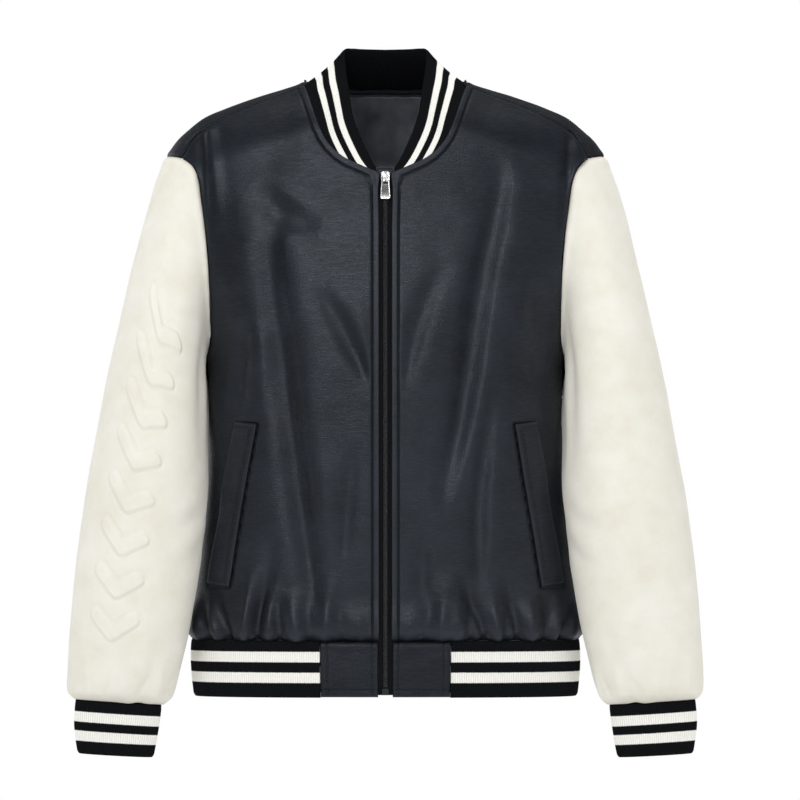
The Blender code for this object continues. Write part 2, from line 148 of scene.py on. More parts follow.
# The shoulder ridge, seen from the front: distance from the centre, height.
RIDGE = (
    (0, 16),
    (60, 9),
    (88, 0.5),
    (95, -2),
    (143, -17),
    (179, -30),
    (204, -42),
    (216, -52),
    (234, -70),
    (242.5, -82.5),
    (256, -104),
)

# The shoulder seam, which lies a little way down the front: distance from the centre, height.
SHOULDER_SEAM = ((89.5, -5), (96.6, -8), (146, -27), (191, -48.5), (210, -60.5), (225, -85.6))

# The armhole: angle from its top, distance of its front from the centre, height.
ARMHOLE = (
    (0, 242.5, -82.5),
    (15, 235.5, -83.2),
    (30, 225, -85.6),
    (45, 213, -95),
    (60, 206.5, -111),
    (75, 202, -138),
    (90, 197.5, -168),
    (105, 194, -205),
    (120, 192.7, -240),
    (135, 192.7, -265),
    (150, 193.5, -284),
    (165, 196.5, -296),
    (180, 199, -300),
)
BACK_WIDER = 5.0
FRONT_ARMHOLE_TOP = 30

# The neckline and the collar's top edge, from the zip to the centre back.
# Seam: distance from the centre, height, 1 on the front or -1 on the back. Top edge: x, y, z.
NECKLINE = (
    (8, -102.5, 1, 11, -94.5, -96),
    (29, -93.5, 1, 20, -82, -78.5),
    (48, -84, 1, 29, -69.5, -58),
    (63, -69.5, 1, 35.2, -59.5, -40),
    (72.5, -52, 1, 38.3, -51, -24),
    (80, -31.5, 1, 40.6, -39, -8),
    (85.5, -15, 1, 43.4, -21, 8),
    (89.5, -5, 1, 45.6, -4, 26),
    (88.5, 0.1, -1, 45.6, 8, 37),
    (76, 1.6, -1, 39, 18, 38.4),
    (58, -1.3, -1, 28, 23.5, 38),
    (30, -2, -1, 14, 26.5, 37.7),
    (0, -1.5, -1, 0, 27.5, 37.5),
)


def along(table, place):
    """The table's other columns at a place in its first one, on a smooth curve through its rows."""
    rows = np.asarray(table, float)
    keys, values = rows[:, 0], rows[:, 1:]
    slopes = np.gradient(values, keys, axis=0)
    place = np.clip(np.asarray(place, float), keys[0], keys[-1])
    row = np.clip(np.searchsorted(keys, place) - 1, 0, len(keys) - 2)
    span = (keys[row + 1] - keys[row])[..., None]
    part = (place - keys[row])[..., None] / span
    ease = part * part * (3 - 2 * part)
    start = part * (1 - part) ** 2
    end = -part * part * (1 - part)
    blend = values[row] * (1 - ease) + values[row + 1] * ease
    blend = blend + span * (slopes[row] * start + slopes[row + 1] * end)
    return np.moveaxis(blend, -1, 0)


def ease_in(value, low, high):
    """0 up to low, 1 from high on, and a smooth S between them."""
    part = np.clip((value - low) / (high - low), 0, 1)
    return part * part * (3 - 2 * part)


def bell(value, width):
    """A bell curve, 1 at zero."""
    return np.exp(-((value / width) ** 2))


def between(first, second, share):
    """The value at a share of the way from the first to the second."""
    return first + (second - first) * share


def mirrored_x(points, side):
    """The points of a left piece where side is 1, and their mirror image where it is -1."""
    return points * np.array((side, 1, 1))


def ridge_height(x):
    """Height of the shoulder ridge at a distance from the centre."""
    return along(RIDGE, np.abs(x))[0]


def fall_of(x, z, side):
    """Distance over the cloth from the ridge to a height: plus down the front, minus down the back."""
    drop = np.maximum(ridge_height(x) - z, 0)
    rolled = ROLL * np.arccos(np.clip(1 - drop / ROLL, 0, 1))
    return side * np.where(drop < ROLL, rolled, drop + ROLL * (math.pi / 2 - 1))


def turn_of(x, z):
    """Angle round the torso's section, from its centre to x."""
    half_width, _, _, square = along(TORSO, z)
    return np.arcsin(np.clip(x / half_width, 0, 1) ** (square / 2))


def torso(turn, fall):
    """Points of the torso: a squared ellipse at each height, rolled over the ridge of the shoulders."""
    turn, fall = np.broadcast_arrays(np.asarray(turn, float), np.asarray(fall, float))
    roll = np.minimum(np.abs(fall) / ROLL, math.pi / 2)
    past = np.maximum(np.abs(fall) - ROLL * math.pi / 2, 0)
    drop = ROLL * (1 - np.cos(roll)) + past
    x = np.zeros_like(turn)
    for _ in range(14):
        z = ridge_height(x) - drop
        half_width, front, back, square = along(TORSO, z)
        x = half_width * np.sign(turn) * np.abs(np.sin(turn)) ** (2 / square)
    depth = np.where(fall > 0, -front, back) * np.abs(np.cos(turn)) ** (2 / square)
    ridge_y = 8 - 0.06 * np.abs(x)
    y = ridge_y + (depth - ridge_y) * np.sin(roll)
    return np.stack((x, y, z), axis=-1)


def torso_at(turn, fall, out):
    """Points of the torso moved out from its face, or in where out is negative."""
    across = torso(turn + 0.002, fall) - torso(turn - 0.002, fall)
    down = torso(turn, fall + 0.5) - torso(turn, fall - 0.5)
    normal = np.cross(down, across)
    normal = normal / np.linalg.norm(normal, axis=-1, keepdims=True)
    return torso(turn, fall) + np.asarray(out)[..., None] * normal


def level(turn, z, side):
    """The fall that keeps a row of the torso level at height z."""
    half_width, _, _, square = along(TORSO, z)
    return fall_of(half_width * np.sin(turn) ** (2 / square), z, side)


def shoulder_seam():
    """Turn and fall of the shoulder seam, from the neck to the armhole."""
    x = np.linspace(SHOULDER_SEAM[0][0], SHOULDER_SEAM[-1][0], SEAM_COLUMNS + 1)
    z = along(SHOULDER_SEAM, x)[0]
    return turn_of(x, z), fall_of(x, z, 1)


def armhole(angles, side):
    """Turn and fall of the armhole on the front (side 1) or the back (side -1)."""
    x, z = along(ARMHOLE, angles)
    if side < 0:
        x = x + BACK_WIDER * np.sin(np.radians(angles))
    return turn_of(x, z), fall_of(x, z, side)


def panel(inner, outer, top, shares, side):
    """Turn and fall over a front or back: level rows below the underarm, then rows that bend to the top edge.

    inner and outer are (turn, fall) of each row's ends, and shares are the columns' places, 0 to 1.
    """
    turns, falls = [], []
    for row, z in enumerate(LEVELS):
        turn = between(inner[0][row], outer[0][row], shares)
        turns.append(turn)
        falls.append(level(turn, z, side))
    first, last = len(LEVELS) - 1, len(inner[0]) - 1
    low_bow = falls[-1] - between(inner[1][first], outer[1][first], shares)
    top_bow = top[1] - between(inner[1][last], outer[1][last], shares)
    top_shift = top[0] - between(inner[0][last], outer[0][last], shares)
    for row in range(first + 1, last + 1):
        share = ((row - first) / (last - first)) ** 2
        turns.append(between(inner[0][row], outer[0][row], shares) + share * top_shift)
        fall = between(inner[1][row], outer[1][row], shares)
        falls.append(fall + (1 - share) * low_bow + share * top_bow)
    return np.array(turns), np.array(falls)


def run_lengths(points, axis):
    """Distance over a grid of points from its first row (axis 0) or column (axis 1)."""
    steps = np.linalg.norm(np.diff(points, axis=axis), axis=-1)
    start = 0 * np.take(steps, [0], axis=axis)
    return np.concatenate((start, np.cumsum(steps, axis=axis)), axis=axis)


def finer(turns, falls, rows, columns):
    """A panel's turn and fall on smooth curves through its own grid.

    rows are distances up its middle column, and columns are numbers of its own columns.
    """
    middle = run_lengths(torso(turns, falls), 0)[:, turns.shape[1] // 2]
    numbers = np.arange(turns.shape[1])
    made = []
    for grid in (turns, falls):
        tall = along(np.column_stack((middle, grid)), rows * middle[-1])
        made.append(along(np.column_stack((numbers, tall)), columns))
    return made


def spaced(turns, falls, near, far, middle):
    """The same rows with columns at set distances from both ends and evenly between.

    Returns turn, fall, distance from the first edge and distance from the last one.
    """
    length = run_lengths(torso(turns, falls), 1)
    width = length[:, -1:]
    even = np.linspace(0, 1, middle + 2)[1:-1]
    near, far = np.asarray(near, float), np.asarray(far, float)
    between = near[-1] + (width - near[-1] - far[-1]) * even
    place = np.concatenate((near + 0 * width, between, width - far[::-1]), axis=1)
    turn = np.array([np.interp(*row) for row in zip(place, length, turns)])
    fall = np.array([np.interp(*row) for row in zip(place, length, falls)])
    return turn, fall, place, width - place


def edge_distance(points, edge):
    """Distance from each point of a grid to the nearest place on an edge, given as a row of its points."""
    flat = points.reshape(-1, 3)
    nearest = np.full(len(flat), 1e9)
    for start, end in zip(edge[:-1:6], [*edge[6::6], edge[-1]]):
        way = end - start
        part = np.clip((flat - start) @ way / max(way @ way, 1e-9), 0, 1)
        nearest = np.minimum(nearest, np.linalg.norm(flat - start - part[:, None] * way, axis=1))
    return nearest.reshape(points.shape[:2])


def facing(points, closed=False):
    """Unit normals of a grid of points, on the side from which rows run up and columns to the right."""
    if closed:
        points = np.concatenate((points[:, -1:], points, points[:, :1]), axis=1)
    up, across = np.gradient(points, axis=0), np.gradient(points, axis=1)
    normal = np.cross(across, up)
    normal = normal / np.maximum(np.linalg.norm(normal, axis=-1, keepdims=True), 1e-9)
    return normal[:, 1:-1] if closed else normal


def lifted(points, height, side=1, closed=False):
    """The points moved out along their normals by a height at each."""
    return points + side * height[..., None] * facing(points, closed)


def fold(across, up, path):
    """Height of one crease: a bell curve of the distance from a smooth path, with a lip beside it.

    The path's rows are across, up, height, width, lip. The lip is a wider bell that stands beyond the
    crease, on its right going down the path, as high as lip, or on its left where width is negative.
    """
    path = np.asarray(path, float)
    count = 64
    keys = np.arange(len(path))
    line = along(np.column_stack((keys, path)), np.linspace(0, len(path) - 1, count))
    run = np.gradient(line[:2], axis=1)
    away = (across[..., None] - line[0]) ** 2 + (up[..., None] - line[1]) ** 2
    nearest = np.argmin(away, axis=-1)
    gap_x, gap_z = across - line[0][nearest], up - line[1][nearest]
    speed = run[0][nearest] ** 2 + run[1][nearest] ** 2
    place = nearest + (gap_x * run[0][nearest] + gap_z * run[1][nearest]) / speed
    place = np.clip(place, 0, count - 1)
    x, z, height, width, lip = (np.interp(place, np.arange(count), row) for row in line)
    way_x, way_z = run[0][nearest] / np.sqrt(speed), run[1][nearest] / np.sqrt(speed)
    beside = (across - x) * -way_z + (up - z) * way_x
    past = (across - x) * way_x + (up - z) * way_z
    ends = bell(past, np.abs(width))
    off = np.sign(width) * 1.9 * np.abs(width)
    return ends * (height * bell(beside, np.abs(width)) + lip * bell(beside - off, 1.2 * np.abs(width)))


def folds(across, up, paths):
    """Heights of several creases together."""
    total = np.zeros_like(across)
    for path in paths:
        total = total + fold(across, up, path)
    return total


def unevenness(across, up, size, turn=0.0):
    """Gentle waves, about 1 high: five sines that run in different directions, with lengths near size."""
    total = np.zeros_like(across)
    for step in range(5):
        way = turn + 2.4 * step
        length = size * (1 + 0.37 * math.sin(3.1 * step + turn))
        run = across * math.cos(way) + up * math.sin(way)
        bend = 0.9 * np.sin((across * math.sin(way) - up * math.cos(way)) / (1.7 * length) + step)
        total = total + np.sin(2 * math.pi * run / length + bend + 1.3 * step) / 5
    return total


def seam_roll(distance, depth=1.1, ridge=0.35, stitched=0.0):
    """Height near a sewn edge: it turns down into the seam, swells over the folded allowance behind it,
    and is drawn down along a row of topstitching at the distance stitched."""
    height = -depth * bell(distance, 1.5) + ridge * bell(distance - 4.0, 2.8)
    if stitched:
        height = height - 0.4 * bell(distance - stitched, 0.9)
    return height


def surface(name, points, finishes, wall=0.0, turned=False, closed=False, looped=False, capped=False,
            uv=None, masks=None, body="jacket"):
    """A piece made of a grid of points in millimetres, with its own UV map and masks, and a wall behind it.

    Its face is the side from which rows run up and columns to the right, or the other side if turned.
    closed joins the last column to the first one, and looped the last row to the first one. A looped
    piece that isn't closed gets a cap at both ends, and so does a closed piece that is capped. The masks
    run from 0 to 1: the groove mask is painted shade, as deep as a place lies in a seam, and darkens it
    there; rubbed is how worn its edge is.
    """
    rows, columns = points.shape[:2]
    lines = np.arange(rows if looped else rows - 1)
    spans = np.arange(columns if closed else columns - 1)
    row, column = np.meshgrid(lines, spans, indexing="ij")
    above, after = (row + 1) % rows, (column + 1) % columns
    quads = np.stack((row * columns + column, row * columns + after,
                      above * columns + after, above * columns + column), axis=-1).reshape(-1, 4)
    caps = np.arange(rows) * columns
    ends = [caps, caps[::-1] + columns - 1] if looped and not closed else []
    if capped:
        ends = [np.arange(columns)[::-1], np.arange(columns) + (rows - 1) * columns]
    if turned:
        quads, ends = quads[:, ::-1], [end[::-1] for end in ends]
    corners = np.concatenate([quads.ravel(), *ends]).astype(np.int32)
    end_size = len(ends[0]) if ends else 0
    starts = np.concatenate((np.arange(0, quads.size, 4), quads.size + end_size * np.arange(len(ends))))
    mesh = bpy.data.meshes.new(name)
    mesh.vertices.add(rows * columns)
    mesh.vertices.foreach_set("co", (points * MM).astype(np.float32).ravel())
    mesh.loops.add(len(corners))
    mesh.loops.foreach_set("vertex_index", corners)
    mesh.polygons.add(len(starts))
    mesh.polygons.foreach_set("loop_start", starts.astype(np.int32))
    mesh.update(calc_edges=True)
    if uv is not None:
        layer = mesh.uv_layers.new(name="cloth")
        flat_uv = uv.reshape(-1, 2)[corners]
        if closed:
            # Where the last column meets the first one, U goes on by one more step.
            past = (quads % columns == 0) & (np.max(quads % columns, axis=1) == columns - 1)[:, None]
            round_it = 2 * uv[0, -1, 0] - uv[0, -2, 0] - uv[0, 0, 0]
            flat_uv[: quads.size, 0] += np.where(past.ravel(), round_it, 0)
        layer.data.foreach_set("uv", flat_uv.astype(np.float32).ravel())
    for label, values in (masks or {}).items():
        mask = mesh.attributes.new(label, "FLOAT", "POINT")
        mask.data.foreach_set("value", values.astype(np.float32).ravel())
    for finish in finishes:
        mesh.materials.append(finish)
    mesh.shade_smooth()
    made = bpy.data.objects.new(name, mesh)
    bpy.context.scene.collection.objects.link(made)
    if wall:
        thick = made.modifiers.new("wall", "SOLIDIFY")
        thick.thickness = wall * MM
        thick.offset = -1
        if len(finishes) > 1:
            thick.material_offset = 1
    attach(made, body)
    return made


def node(tree, kind, values=None, **settings):
    """A shader node with its settings, and its inputs set to values or linked from other nodes' outputs."""
    made = tree.nodes.new("ShaderNode" + kind)
    for name, value in settings.items():
        setattr(made, name, value)
    for name, value in (values or {}).items():
        if isinstance(value, bpy.types.NodeSocket):
            tree.links.new(value, made.inputs[name])
        else:
            made.inputs[name].default_value = value
    return made


def math_of(tree, operation, first, second=0.0, third=0.0):
    """The result of a Math node on up to three values."""
    return node(tree, "Math", {0: first, 1: second, 2: third}, operation=operation).outputs[0]


def scaled(tree, vector, sizes):
    """The coordinates divided so that one unit is the given size along each axis, in metres."""
    return node(tree, "Mapping", {"Vector": vector, "Scale": tuple(1 / size for size in sizes)}).outputs[0]


def noise(tree, vector, sizes, detail=2.0, roughness=0.5):
    """Noise with features of about the given sizes along X, Y and Z, in metres."""
    place = scaled(tree, vector, sizes)
    made = node(tree, "TexNoise", {"Vector": place, "Scale": 1.0, "Detail": detail, "Roughness": roughness})
    return made.outputs["Fac"]


def ranged(tree, value, low, high, to_low=0.0, to_high=1.0):
    """The value's place between low and high, as a number between to_low and to_high."""
    made = node(tree, "MapRange", {"Value": value, "From Min": low, "From Max": high,
                                   "To Min": to_low, "To Max": to_high})
    return made.outputs["Result"]


def blended(tree, share, first, second):
    """A colour between two, by a share."""
    made = node(tree, "Mix", {0: share}, data_type="RGBA")
    for socket, value in ((made.inputs[6], first), (made.inputs[7], second)):
        if isinstance(value, bpy.types.NodeSocket):
            tree.links.new(value, socket)
        else:
            socket.default_value = (*value, 1)
    return made.outputs[2]


def new_group(name, inputs, outputs):
    """An empty shader group with the named inputs and outputs, and its two end nodes."""
    tree = bpy.data.node_groups.new(name, "ShaderNodeTree")
    for label, kind, value in inputs:
        socket = tree.interface.new_socket(label, in_out="INPUT", socket_type="NodeSocket" + kind)
        if value is not None:
            socket.default_value = value
    for label, kind in outputs:
        tree.interface.new_socket(label, in_out="OUTPUT", socket_type="NodeSocket" + kind)
    return tree, tree.nodes.new("NodeGroupInput").outputs, tree.nodes.new("NodeGroupOutput").inputs


def use_group(tree, group, **values):
    """A shader group's outputs, with its inputs set to values or linked."""
    made = tree.nodes.new("ShaderNodeGroup")
    made.node_tree = group
    for label, value in values.items():
        socket = made.inputs[label]
        if isinstance(value, bpy.types.NodeSocket):
            tree.links.new(value, socket)
        else:
            socket.default_value = value
    return made.outputs


def new_material(name):
    """A material's tree, its shader's inputs and its object coordinates."""
    made = bpy.data.materials.new(name)
    made.use_nodes = True
    tree = made.node_tree
    place = tree.nodes.new("ShaderNodeTexCoord").outputs["Object"]
    return made, tree, tree.nodes["Principled BSDF"].inputs, place


def attribute(tree, name):
    """A mask of the piece."""
    return node(tree, "Attribute", attribute_name=name).outputs["Fac"]


def embossed(tree, shader, height, strength, distance):
    """Gives the shader's normal a relief: a height of 1 stands as far out as distance, in metres."""
    bump = node(tree, "Bump", {"Strength": strength, "Distance": distance, "Height": height})
    tree.links.new(bump.outputs[0], shader["Normal"])


# Faux leather's skin, shared by the body and the sleeves: fine pebbles, short streaks where the base
# cloth was drawn as it was coated, and broad soft mottling.
leather_skin, skin_in, skin_out = new_group(
    "leather_skin",
    (("Vector", "Vector", None), ("Pebble", "Float", 0.0011), ("Streak", "Float", 1.0)),
    (("Height", "Float"), ("Streaks", "Float"), ("Mottle", "Float")),
)
pebble_place = node(leather_skin, "VectorMath", {0: skin_in["Vector"]}, operation="SCALE")
leather_skin.links.new(math_of(leather_skin, "DIVIDE", 1.0, skin_in["Pebble"]), pebble_place.inputs["Scale"])
pebbles = node(leather_skin, "TexVoronoi", {"Vector": pebble_place.outputs[0], "Scale": 1.0},
               feature="SMOOTH_F1")
fine_skin = noise(leather_skin, skin_in["Vector"], (0.0028, 0.0028, 0.0009), 3.0, 0.6)
drawn = noise(leather_skin, skin_in["Vector"], (0.011, 0.011, 0.0013), 4.0, 0.65)
streaks = ranged(leather_skin, drawn, 0.42, 0.66)
skin_height = math_of(leather_skin, "MULTIPLY", pebbles.outputs["Distance"], 0.55)
skin_height = math_of(leather_skin, "MULTIPLY_ADD", fine_skin, 0.9, skin_height)
streak_height = math_of(leather_skin, "MULTIPLY", drawn, skin_in["Streak"])
leather_skin.links.new(math_of(leather_skin, "ADD", skin_height, streak_height), skin_out["Height"])
leather_skin.links.new(streaks, skin_out["Streaks"])
mottle = noise(leather_skin, skin_in["Vector"], (0.07, 0.07, 0.05), 4.0, 0.55)
leather_skin.links.new(mottle, skin_out["Mottle"])

NAVY = (0.0034, 0.0050, 0.0082)
NAVY_PALE = (0.0135, 0.0178, 0.0260)
# Next: a darker navy, painted shade for the seams and grooves.
NAVY_SHADED = (0.0025, 0.0032, 0.0050)
NAVY_RUBBED = (0.0300, 0.0350, 0.0450)
FACE_GLOSS, GROOVE_GLOSS = 0.40, 0.03

body_leather, tree, shader, place = new_material("body_leather")
skin = use_group(tree, leather_skin, Vector=place, Pebble=0.0010, Streak=0.8)
tone = math_of(tree, "MULTIPLY_ADD", skin["Streaks"], 0.6, ranged(tree, skin["Mottle"], 0.35, 0.7, 0.0, 0.55))
colour = blended(tree, tone, NAVY, NAVY_PALE)
colour = blended(tree, attribute(tree, "rubbed"), colour, NAVY_RUBBED)
# Painted shade: the groove mask darkens the leather in its seams and grooves.
colour = blended(tree, attribute(tree, "groove_shade"), colour, NAVY_SHADED)
tree.links.new(colour, shader["Base Color"])
tree.links.new(ranged(tree, skin["Streaks"], 0.0, 1.0, 0.45, 0.35), shader["Roughness"])
embossed(tree, shader, skin["Height"], 0.6, 0.0005)
# The gloss fades in the grooves. The socket's own value holds wherever the link isn't followed.
shader["Specular IOR Level"].default_value = FACE_GLOSS
tree.links.new(ranged(tree, attribute(tree, "groove_shade"), 0.0, 1.0, FACE_GLOSS, GROOVE_GLOSS),
               shader["Specular IOR Level"])
shader["Specular Tint"].default_value = (0.84, 0.90, 1.0, 1)
shader["Sheen Weight"].default_value = 0.02
shader["Sheen Roughness"].default_value = 0.5

# Dark satin, the lining and the inner face of every leather piece: a fine twill with a soft shine.
SATIN_DARK = (0.085, 0.097, 0.118)
SATIN_PALE = (0.150, 0.168, 0.198)

lining_satin, tree, shader, place = new_material("lining_satin")
crumple = noise(tree, place, (0.02, 0.02, 0.03), 3.0)
weave = node(tree, "TexWave", {"Vector": scaled(tree, place, (0.0007, 0.0007, 0.0007)), "Scale": 1.0,
                               "Distortion": 0.6}, wave_type="BANDS", bands_direction="DIAGONAL")
tree.links.new(blended(tree, ranged(tree, crumple, 0.35, 0.7), SATIN_DARK, SATIN_PALE), shader["Base Color"])
tree.links.new(ranged(tree, crumple, 0.3, 0.7, 0.36, 0.46), shader["Roughness"])
embossed(tree, shader, weave.outputs["Fac"], 0.2, 0.0002)
shader["Sheen Weight"].default_value = 0.2

# Creases of the two fronts: across, up, height, width, lip.
FOLDS_RIGHT = (
    ((-119, -128, 0, 14, 0), (-127, -187, -1.6, 15, 0.8), (-114, -306, -3.4, 16, 1.7),
     (-95, -450, -3.6, 15, 1.8), (-82, -539, -2.2, 12, 1.2), (-78, -585, 0, 10, 0)),
    ((-155, -262, 0, 9, 0), (-159, -300, -1.7, 10, 1.0), (-163, -345, -1.5, 10, 0.8), (-168, -385, 0, 9, 0)),
    ((-84, -226, 0, 12, 0), (-58, -254, -1.2, 12, 0.6), (-36, -296, -1.9, 11, 1.0), (-20, -326, -1.2, 8, 0.7),
     (-12, -345, 0, 7, 0)),
    ((-148, -118, 0, 16, 0), (-120, -142, -1.9, 18, 0.8), (-96, -156, -1.5, 16, 0.6), (-70, -160, 0, 14, 0)),
    ((-205, -48, -1.0, 6, 0.8), (-204, -62, -1.7, 6, 3.0), (-201, -100, -1.5, 7, 2.6), (-196, -160, 0, 7, 0)),
    ((-36, -395, 0, 10, 0), (-40, -440, -1.0, 11, 0.5), (-46, -500, -1.2, 11, 0.6), (-50, -560, 0, 10, 0)),
    ((-188, -430, 0, 8, 0), (-186, -480, -1.2, 9, 0.6), (-190, -540, 0, 8, 0)),
)
FOLDS_LEFT = (
    ((124, -82, 0, 12, 0), (125, -125, -1.6, 13, 0.8), (107, -215, -2.8, 15, 1.4), (92, -318, -3.4, 15, 1.8),
     (82, -377, -3.0, 13, 1.4), (68, -436, -1.6, 12, 0.8), (60, -480, 0, 10, 0)),
    ((126, -300, 0, 9, 0), (119, -343, -1.6, 10, 0.9), (110, -394, -2.6, 11, 1.4), (103, -461, -2.4, 11, 1.2),
     (102, -530, -1.4, 10, 0.7), (102, -575, 0, 8, 0)),
    ((205, -48, -1.0, 6, -0.8), (204, -62, -1.7, 6, 3.0), (202, -104, -1.4, 7, 2.6), (197, -156, 0, 7, 0)),
    ((70, -196, 0, 12, 0), (46, -240, -1.2, 13, 0.6), (28, -300, -1.3, 11, 0.6), (16, -348, 0, 9, 0)),
    ((160, -210, 0, 14, 0), (168, -260, -1.6, 15, 0.8), (162, -330, 0, 13, 0)),
    ((44, -500, 0, 9, 0), (40, -540, -1.3, 10, 0.6), (44, -590, 0, 8, 0)),
    ((184, -420, 0, 8, 0), (183, -470, -1.1, 9, 0.5), (188, -530, 0, 8, 0)),
)
# Gathers that rise from the hem seam: where each leaves the seam, where it ends, height, width.
GATHERS_RIGHT = (
    (-26, -31, -592, 0.7, 4), (-47, -52, -583, -1.2, 5), (-66, -60, -560, 1.4, 6), (-82, -88, -580, -1.4, 5),
    (-97, -105, -575, 2.4, 8), (-116, -119, -578, -1.8, 5), (-128, -126, -558, 1.6, 6),
    (-143, -124, -535, -2.8, 5.5), (-155, -148, -560, 2.4, 5.5), (-172, -190, -572, -2.6, 5),
    (-183, -196, -588, 1.8, 4.5), (-196, -204, -570, -1.8, 4.5), (-207, -211, -580, 1.4, 3.5),
)
GATHERS_LEFT = (
    (24, 30, -590, 0.7, 4), (43, 50, -578, -1.2, 5), (61, 66, -562, 1.8, 6.5), (79, 81, -556, 1.6, 9),
    (94, 87, -568, -1.6, 5), (110, 85, -560, -2.6, 5), (124, 118, -570, 2.2, 6), (134, 131, -584, -1.2, 4),
    (146, 134, -563, -2.6, 5), (160, 162, -570, 2.2, 6), (176, 180, -582, -1.6, 4.5),
    (186, 192, -575, 1.6, 4.5), (193, 204, -588, -2.4, 4.5), (206, 210, -578, 1.2, 3.5),
)
FOLD_DEPTH = 2.9  # times each fold's height
GATHER_DEPTH = 2.8  # times each gather's height


def gathers(across, up, rows):
    """Creases that rise from the hem's seam and fade upwards, each widening as it goes."""
    total = np.zeros_like(across)
    for foot, head, top, height, width in rows:
        third = 1.25 * (top - HEM_SEAM) / 3
        lean = (head - foot) / 3
        total = total + fold(across, up, (
            (foot, HEM_SEAM - 6, height, width, 0),
            (foot + 0.6 * lean, HEM_SEAM + third * 0.8, 0.95 * height, 1.1 * width, 0),
            (foot + 2 * lean, HEM_SEAM + 2 * third, 0.65 * height, 1.4 * width, 0),
            (head, HEM_SEAM + 3.4 * third, 0, 1.7 * width, 0)))
    return total


def front_lines():
    """Turn and fall of a front's own grid: its inner edge follows the zip and then the neckline."""
    low = np.array(LEVELS, float)
    steps = np.arange(1, 4 * NECK_CORNER + 13) / 4
    corners = np.array(NECKLINE)[: NECK_CORNER + 1, :2]
    neck = along(np.column_stack((np.arange(3, NECK_CORNER + 4), corners)), steps)
    zip_x = np.interp(steps, (0, 2, 3), (ZIP_OPENING, ZIP_OPENING, NECKLINE[0][0]))
    zip_z = np.interp(steps, (0, 1, 2, 3), (UNDERARM, -232.0, -165.0, NECKLINE[0][1]))
    inner_x = np.concatenate((np.full(len(low), ZIP_OPENING), np.where(steps < 3, zip_x, neck[0])))
    inner_z = np.concatenate((low, np.where(steps < 3, zip_z, neck[1])))
    inner = turn_of(inner_x, inner_z), fall_of(inner_x, inner_z, 1)
    rise = armhole(180 - 15 * steps, 1)
    side = np.full(len(low), math.pi / 2), level(np.full(len(low), math.pi / 2), low, 1)
    outer = np.concatenate((side[0], rise[0])), np.concatenate((side[1], rise[1]))
    return panel(inner, outer, shoulder_seam(), np.linspace(0, 1, SEAM_COLUMNS + 1), 1)


def row_places(count, dense, share):
    """Places from 0 to 1, with dense extra rows in each end's share."""
    ends = np.linspace(0, share, dense, endpoint=False)
    return np.concatenate((ends, np.linspace(share, 1 - share, count), 1 - ends[::-1]))


# The corners of the left pocket's welt, inner and outer: distance from the centre, height.
WELT_TOP = ((140.5, -378), (165.5, -375))
WELT_FOOT = ((171, -558), (196, -553.5))


def pocket_welt(x, z):
    """Place over a pocket's welt: across from its inner to its outer edge, and up, both 0 to 1."""
    up = (z - WELT_FOOT[0][1]) / (WELT_TOP[0][1] - WELT_FOOT[0][1])
    inner = between(WELT_FOOT[0][0], WELT_TOP[0][0], up)
    outer = between(WELT_FOOT[1][0], WELT_TOP[1][0], up)
    return (x - inner) / (outer - inner), up


# Each of a pair is made as the wearer's left one, and mirrored where side is -1.
SIDES = (("left", 1), ("right", -1))
TOP_ROW = 6.0  # from the shoulder seam to its row of topstitching

turns, falls = finer(*front_lines(), row_places(236, 9, 0.012), np.linspace(0, SEAM_COLUMNS, 121))
edge_columns = (0, 0.5, 1.1, 2, 3.2, 4.6, 5.8, 6.5, 7.0, 7.5, 8.0, 8.6, 9.6, 11, 13)
turns, falls, _, from_side = spaced(turns, falls, edge_columns, (0, 0.7, 1.5, 2.6, 4, 6), 86)
flat_front = torso(turns, falls)
front_top = edge_distance(flat_front, flat_front[-1])
from_hem = run_lengths(flat_front, 0)
front_edge = edge_distance(flat_front, flat_front[:, 0])


def front_folds(x, z, side):
    """Height of a front's folds at places across and up: a lip stands less high than its trough is deep."""
    creases = folds(x, z, FOLDS_LEFT if side > 0 else FOLDS_RIGHT)
    return FOLD_DEPTH * np.where(creases > 0, 0.45, 1.0) * creases


def front_waves(x, z, side):
    """Broad, shallow waves of a front."""
    return 1.1 * unevenness(x, z * 0.6, 88, side) + 0.35 * unevenness(x, z * 0.8, 37, 2 + side)


